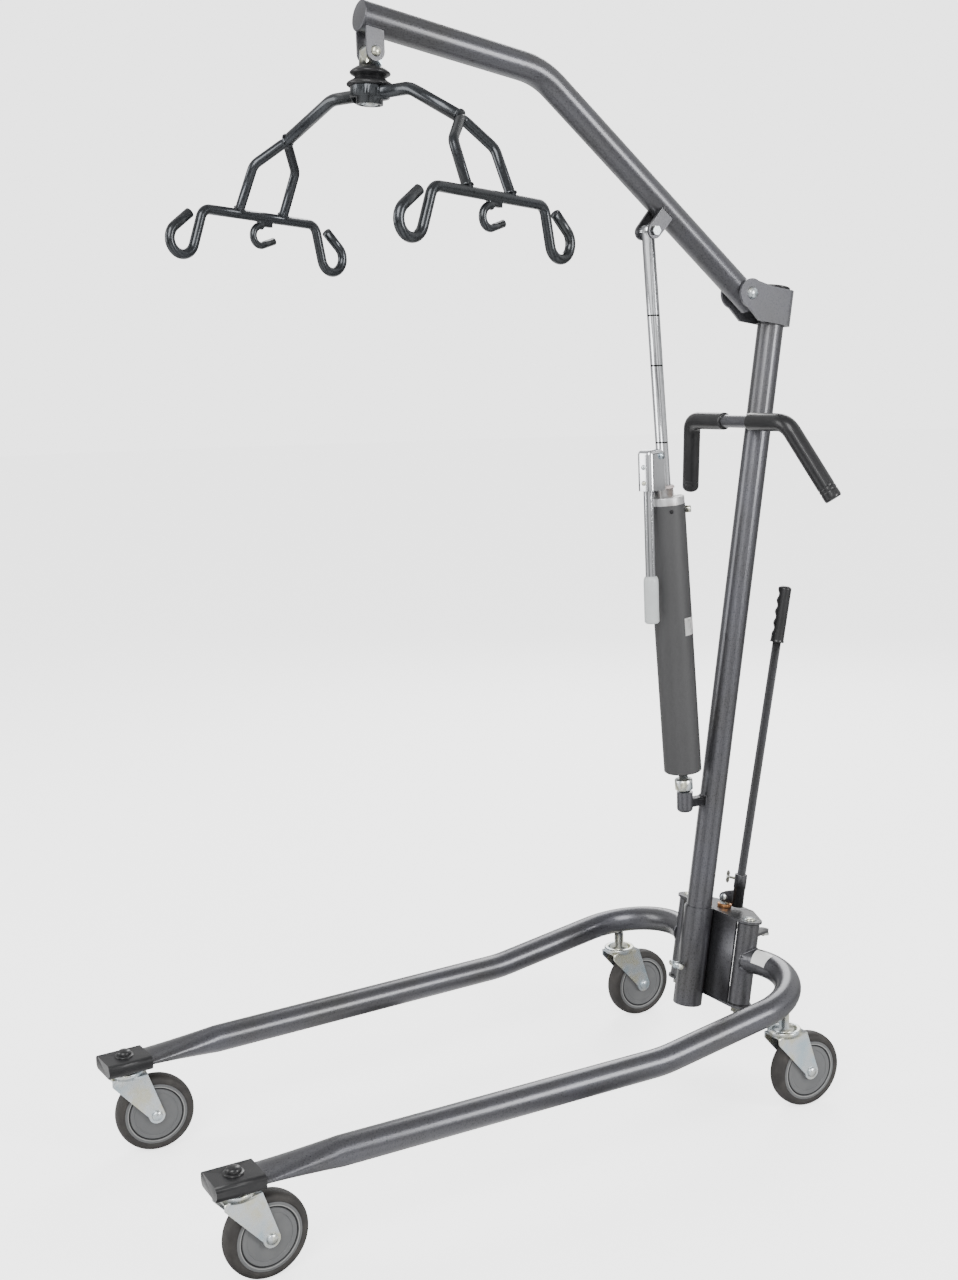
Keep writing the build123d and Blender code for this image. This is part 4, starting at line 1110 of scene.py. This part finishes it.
@dataclass
class PumpRam:
    """Pump: barrel label, head screws, rod wiper, lever fittings and rounded grip."""

    barrel: float = 0.0325
    top: float = 0.519
    head: float = 0.013
    grip_foot: tuple[float, float, float] = (0.0, -0.017, -0.278)

    def dress(self, wear: Dresser) -> None:
        """Gives the CAD nodes their finishes.

        Args:
            wear: the dresser.
        """
        look = wear.finishes
        wear.node(look.pump, "pump_barrel")
        wear.node(look.silver, "pump_head")
        wear.node(look.zinc, "pump_ball_foot", "pump_lever_pin", "release_valve")
        wear.node(look.rod, "pump_rod")

    def build(self, wear: Dresser) -> None:
        """Makes the small pieces on the pump.

        Args:
            wear: the dresser.
        """
        look = wear.finishes
        mid = PUMP @ Matrix.Translation((0.0, 0.0, 0.312))
        label = wrapped_label("pump_label", self.barrel + 0.0002, 0.034, 0.030, math.radians(30), mid)
        wear.piece(label, "pump", look.label)
        seal = [(0.0107, 0.0), (0.0168, 0.0), (0.0162, 0.0035), (0.0135, 0.0048), (0.0107, 0.0042),
                (0.0107, 0.0)]
        top = PUMP @ Matrix.Translation((0.0, 0.0, self.top + self.head + 0.014))
        wear.piece(spun("rod_wiper", seal, top, 64), "pump", look.wiper)
        head = [(0.0, 0.0026), (0.0020, 0.0024), (0.0030, 0.0014), (0.0032, 0.0), (0.0, 0.0)]
        parts = []
        for angle in (-75, -20, 35, 100, 160, 220):
            frame = (PUMP @ Matrix.Rotation(math.radians(angle), 4, "Z")
                     @ Matrix.Translation((self.barrel - 0.0001, 0.0, self.top - 0.010))
                     @ Matrix.Rotation(math.pi / 2, 4, "Y"))
            parts.append(spun("screw", head, frame, 24))
        wear.piece(joined("head_screws", parts), "pump", look.black)
        grip = [(0.0, 0.0), (0.0088, 0.0), (0.0110, 0.0012), (0.0124, 0.0036), (0.0125, 0.0700),
                (0.0122, 0.0740), (0.0112, 0.0772), (0.0096, 0.0794), (0.0, 0.0800)]
        lower = PUMP_LEVER @ Matrix.Translation(self.grip_foot)
        piece = wear.piece(spun("pump_handle_grip", grip, lower, 64, 60.0), "pump_handle", look.grey)
        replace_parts(piece, "pump_grip")
        lever = wear.piece(joined("pump_handle_lever", [self.channel(), self.tube()], 45.0), "pump_handle",
                           look.chrome)
        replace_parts(lever, "pump_lever")
        # painted shade: a near-black disc on the closed bottom of the grip stands for the shade inside its
        # hole
        hole = [(0.0, 0.0004), (0.0028, 0.0004), (0.0032, -0.0003), (0.0, -0.0003)]
        below = PUMP_LEVER @ Matrix.Translation(self.grip_foot) @ Matrix.Rotation(math.pi, 4, "X")
        wear.piece(spun("grip_hole_painted_shade", hole, below, 32), "pump_handle", look.groove)
        bolts = []
        rivet = [(0.0, 0.0022), (0.0026, 0.0019), (0.0040, 0.0010), (0.0044, 0.0), (0.0, 0.0)]
        for height in (-0.018, -0.044):
            frame = (PUMP_LEVER @ Matrix.Translation((0.0, -0.0299, height))
                     @ Matrix.Rotation(math.pi / 2, 4, "X"))
            bolts.append(spun("rivet", rivet, frame, 28))
        wear.piece(joined("lever_rivets", bolts), "pump_handle", look.zinc)

    def channel(self) -> bpy.types.Object:
        """Returns the pressed channel that straddles the pump's cheeks."""
        shape = bmesh.new()
        bmesh.ops.create_cube(shape, size=1.0)
        low, high = Vector((-0.0148, -0.0300, -0.0570)), Vector((0.0148, 0.0085, 0.0105))
        bmesh.ops.scale(shape, vec=high - low, verts=shape.verts)
        bmesh.ops.translate(shape, vec=(low + high) / 2, verts=shape.verts)
        keep = [edge for edge in shape.edges
                if not all(vert.co.z < -0.05 for vert in edge.verts)
                and not (all(vert.co.y > 0.008 for vert in edge.verts)
                         and abs(edge.verts[0].co.z - edge.verts[1].co.z) > 0.01)]
        bmesh.ops.bevel(shape, geom=keep, offset=0.0085, offset_type="OFFSET", segments=7, profile=0.5,
                        affect="EDGES", material=-1, clamp_overlap=True)
        shape.normal_update()
        gone = [face for face in shape.faces if face.normal.z < -0.9 or (
            face.normal.y > 0.9 and face.calc_center_median().y > 0.008)]
        bmesh.ops.delete(shape, geom=gone, context="FACES")
        bmesh.ops.solidify(shape, geom=shape.faces, thickness=0.0024)
        return hand_over(shape, "channel", PUMP_LEVER, 45.0)

    def tube(self) -> bpy.types.Object:
        """Returns the lever's tube, with its flared shoulder in the channel."""
        points = evenly([Vector((0, -0.017, -0.203)), Vector((0, -0.017, -0.028))], 0.003)
        count = len(points) - 1
        scales = [1.0 + 0.22 * max(0.0, (index / count - 0.80) / 0.20) ** 2 for index in range(len(points))]
        return swept("lever_tube", points, 0.0088, scales, PUMP_LEVER, False, 10)


@dataclass
class SwivelAndSpreader:
    """Swivel boot with its two folds, and the welds of the spreader."""

    arm_end: tuple[float, float, float] = (0.183, 0.0, -0.1065)
    bend: tuple[float, float, float] = (0.2105, 0.0415, -0.145)
    foot: tuple[float, float, float] = (0.2435, 0.0435, -0.214)
    hub_side: float = 0.0292
    hub_height: float = -0.057
    bead_radius: float = 0.0015
    folds: list[tuple[float, float]] = field(default_factory=lambda: [
        (0.0096, -0.0190), (0.0150, -0.0185), (0.0205, -0.0205), (0.0265, -0.0243), (0.0296, -0.0272),
        (0.0299, -0.0290), (0.0282, -0.0308), (0.0240, -0.0330), (0.0222, -0.0350), (0.0232, -0.0368),
        (0.0290, -0.0400), (0.0332, -0.0428), (0.0342, -0.0446), (0.0336, -0.0463), (0.0314, -0.0478),
        (0.0275, -0.0478), (0.0190, -0.0400), (0.0190, -0.0330), (0.0245, -0.0287), (0.0096, -0.0215),
        (0.0096, -0.0190)])

    def dress(self, wear: Dresser) -> None:
        """Gives the spreader its finish.

        Args:
            wear: the dresser.
        """
        wear.node(wear.finishes.spreader, "spreader_bar")

    def build(self, wear: Dresser) -> None:
        """Makes the boot and the welds.

        Args:
            wear: the dresser.
        """
        look = wear.finishes
        boot = wear.piece(spun("rubber_boot", self.folds, SPREADER, 80, 70.0), "spreader", look.rubber)
        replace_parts(boot, "swivel_boot")
        parts = []
        for sign in (1.0, -1.0):
            hub = Vector((sign * self.hub_side, 0, self.hub_height))
            parts.append(bead("arm", ring(hub, Vector((1, 0, 0)), 0.0095), SPREADER, self.bead_radius, True))
            fork = Vector((sign * self.arm_end[0], 0.0, self.arm_end[2]))
            lean = Vector((sign * 0.101, 0.0, -0.0495)).normalized()
            parts.append(bead("fork", ring(fork - lean * 0.0028, lean, 0.0093), SPREADER, self.bead_radius,
                              True))
            for side in (1.0, -1.0):
                foot = Vector((sign * self.foot[0], side * self.foot[1], self.foot[2]))
                knee = Vector((sign * self.bend[0], side * self.bend[1], self.bend[2]))
                up = (knee - foot).normalized()
                parts.append(bead("foot", ring(foot + up * 0.0072, up, 0.0082), SPREADER, self.bead_radius,
                                  True))
        wear.piece(joined("spreader_welds", parts), "spreader", look.spreader)


@dataclass
class Studio:
    """Pale floor, soft lights and the camera."""

    lens: float = 46.03
    eye: tuple[float, float, float] = (2.21668, -1.29134, 1.23903)
    azimuth: float = 59.079
    down: float = 10.627
    roll: float = -1.628
    shift: tuple[float, float] = (-0.0262, 0.0254)
    sky: float = 0.85
    backdrop: float = 3.0
    floor_lift: float = 2.2
    band_dark: float = 0.65
    band_bright: float = 1.35
    patch_scale: float = 1.7
    patch_span: tuple[float, float] = (0.42, 0.58)
    floor_radius: float = 26.0
    bands: tuple[tuple[float, float], ...] = (
        (0.05, 0.12), (0.14, 0.8), (0.25, 0.85), (0.31, 0.06), (0.36, 0.7), (0.42, 0.9), (0.48, 0.7),
        (0.54, 0.06), (0.61, 0.75), (0.75, 0.15), (0.9, 0.85))

    def build(self) -> None:
        """Makes the floor, the lights and the camera."""
        self.floor()
        for name, place, aim, size, power in (
                ("key", (2.6, -2.6, 3.4), (0.0, 0.0, 0.9), 2.2, 190.0),
                ("strip", (3.0, 1.6, 1.6), (0.0, 0.1, 0.9), 1.0, 75.0),
                ("back", (-2.6, 2.4, 2.8), (0.0, 0.0, 1.0), 2.0, 110.0),
                ("left", (-1.6, -3.2, 1.8), (0.0, -0.3, 0.8), 1.6, 60.0)):
            self.light(name, Vector(place), Vector(aim), size, power)
        world = bpy.data.worlds.new("studio")
        world.use_nodes = True
        tree = world.node_tree
        backdrop = tree.nodes["Background"]
        backdrop.inputs["Color"].default_value = (1.0, 1.0, 1.0, 1.0)
        tone = tree.nodes.new("ShaderNodeMapRange")
        tree.links.new(tree.nodes.new("ShaderNodeLightPath").outputs["Is Camera Ray"], tone.inputs["Value"])
        patches = tree.nodes.new("ShaderNodeTexNoise")
        patches.inputs["Scale"].default_value = self.patch_scale
        patches.inputs["Detail"].default_value = 1.0
        tree.links.new(tree.nodes.new("ShaderNodeTexCoord").outputs["Generated"], patches.inputs["Vector"])
        bands = tree.nodes.new("ShaderNodeMapRange")
        tree.links.new(patches.outputs[0], bands.inputs["Value"])
        for socket, value in (("From Min", self.patch_span[0]), ("From Max", self.patch_span[1]),
                              ("To Min", self.sky * self.band_dark),
                              ("To Max", self.sky * self.band_bright)):
            bands.inputs[socket].default_value = value
        tree.links.new(bands.outputs[0], tone.inputs["To Min"])
        tone.inputs["To Max"].default_value = self.backdrop
        tree.links.new(tone.outputs[0], backdrop.inputs["Strength"])
        bpy.context.scene.world = world
        self.camera()

    def floor(self) -> None:
        """Makes the round pale floor."""
        shape = bmesh.new()
        bmesh.ops.create_circle(shape, cap_ends=True, segments=96, radius=self.floor_radius)
        obj = hand_over(shape, "studio_floor", Matrix.Identity(4))
        sketch = NodeSketch("studio_floor")
        tone = sketch.mix(sketch.span(sketch.noise(2.0), 0.0, 0.3), (0.86, 0.86, 0.86), (0.83, 0.83, 0.83))
        around = sketch.node("ShaderNodeTexGradient", {"Vector": sketch.place}, gradient_type="RADIAL")
        bands = sketch.ramp(around.outputs[1], [(place, (grey, grey, grey)) for place, grey in self.bands])
        mirrored = sketch.node("ShaderNodeLightPath").outputs["Is Glossy Ray"]
        sketch.feed(sketch.shader.inputs["Base Color"], sketch.mix(mirrored, tone, bands))
        sketch.shader.inputs["Roughness"].default_value = 0.75
        seen = sketch.node("ShaderNodeLightPath").outputs["Is Camera Ray"]
        sketch.feed(sketch.shader.inputs["Emission Strength"],
                    sketch.span(seen, 0.0, self.floor_lift, 0.0, 1.0))
        sketch.shader.inputs["Emission Color"].default_value = (1.0, 1.0, 1.0, 1.0)
        obj.data.materials.append(sketch.material)

    def light(self, name: str, place: Vector, aim: Vector, size: float, power: float) -> None:
        """Makes a soft light.

        Args:
            name: its name.
            place: where it stands.
            aim: what it points at.
            size: its width.
            power: its power in watts.
        """
        lamp = bpy.data.lights.new(name, "AREA")
        lamp.shape = "RECTANGLE"
        lamp.size = size
        lamp.size_y = size * 1.4
        lamp.energy = power
        obj = bpy.data.objects.new(name, lamp)
        turn = (aim - place).to_track_quat("-Z", "Y").to_matrix().to_4x4()
        obj.matrix_world = Matrix.Translation(place) @ turn
        bpy.context.scene.collection.objects.link(obj)

    def camera(self) -> None:
        """Makes the camera that looks down at the hoist from its left front."""
        azimuth, down, roll = (math.radians(v) for v in (self.azimuth, self.down, self.roll))
        back = Vector((math.sin(azimuth) * math.cos(down), -math.cos(azimuth) * math.cos(down),
                       math.sin(down)))
        right = Vector((math.cos(azimuth), math.sin(azimuth), 0.0))
        above = back.cross(right)
        turned = right * math.cos(roll) + above * math.sin(roll)
        upright = above * math.cos(roll) - right * math.sin(roll)
        data = bpy.data.cameras.new("camera")
        data.lens = self.lens
        data.sensor_width = 36.0
        data.shift_x, data.shift_y = self.shift
        data.clip_end = 100.0
        obj = bpy.data.objects.new("camera", data)
        turn = Matrix((turned, upright, back)).transposed().to_4x4()
        obj.matrix_world = Matrix.Translation(self.eye) @ turn
        bpy.context.scene.collection.objects.link(obj)
        bpy.context.scene.camera = obj


def main() -> None:
    """Builds every sub-assembly in order."""
    logging.basicConfig(level=logging.INFO, format="%(name)s: %(message)s")
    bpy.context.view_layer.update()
    wear = Dresser()
    for group in (MastAndBase(), Legs(), Casters(), PushHandle(), LegShifter(), PumpRam(),
                  SwivelAndSpreader()):
        group.dress(wear)
        group.build(wear)
    Studio().build()
    bpy.context.view_layer.update()
    log.info("%d pieces made", wear.count)


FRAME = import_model()

if __name__ == "__main__":
    main()
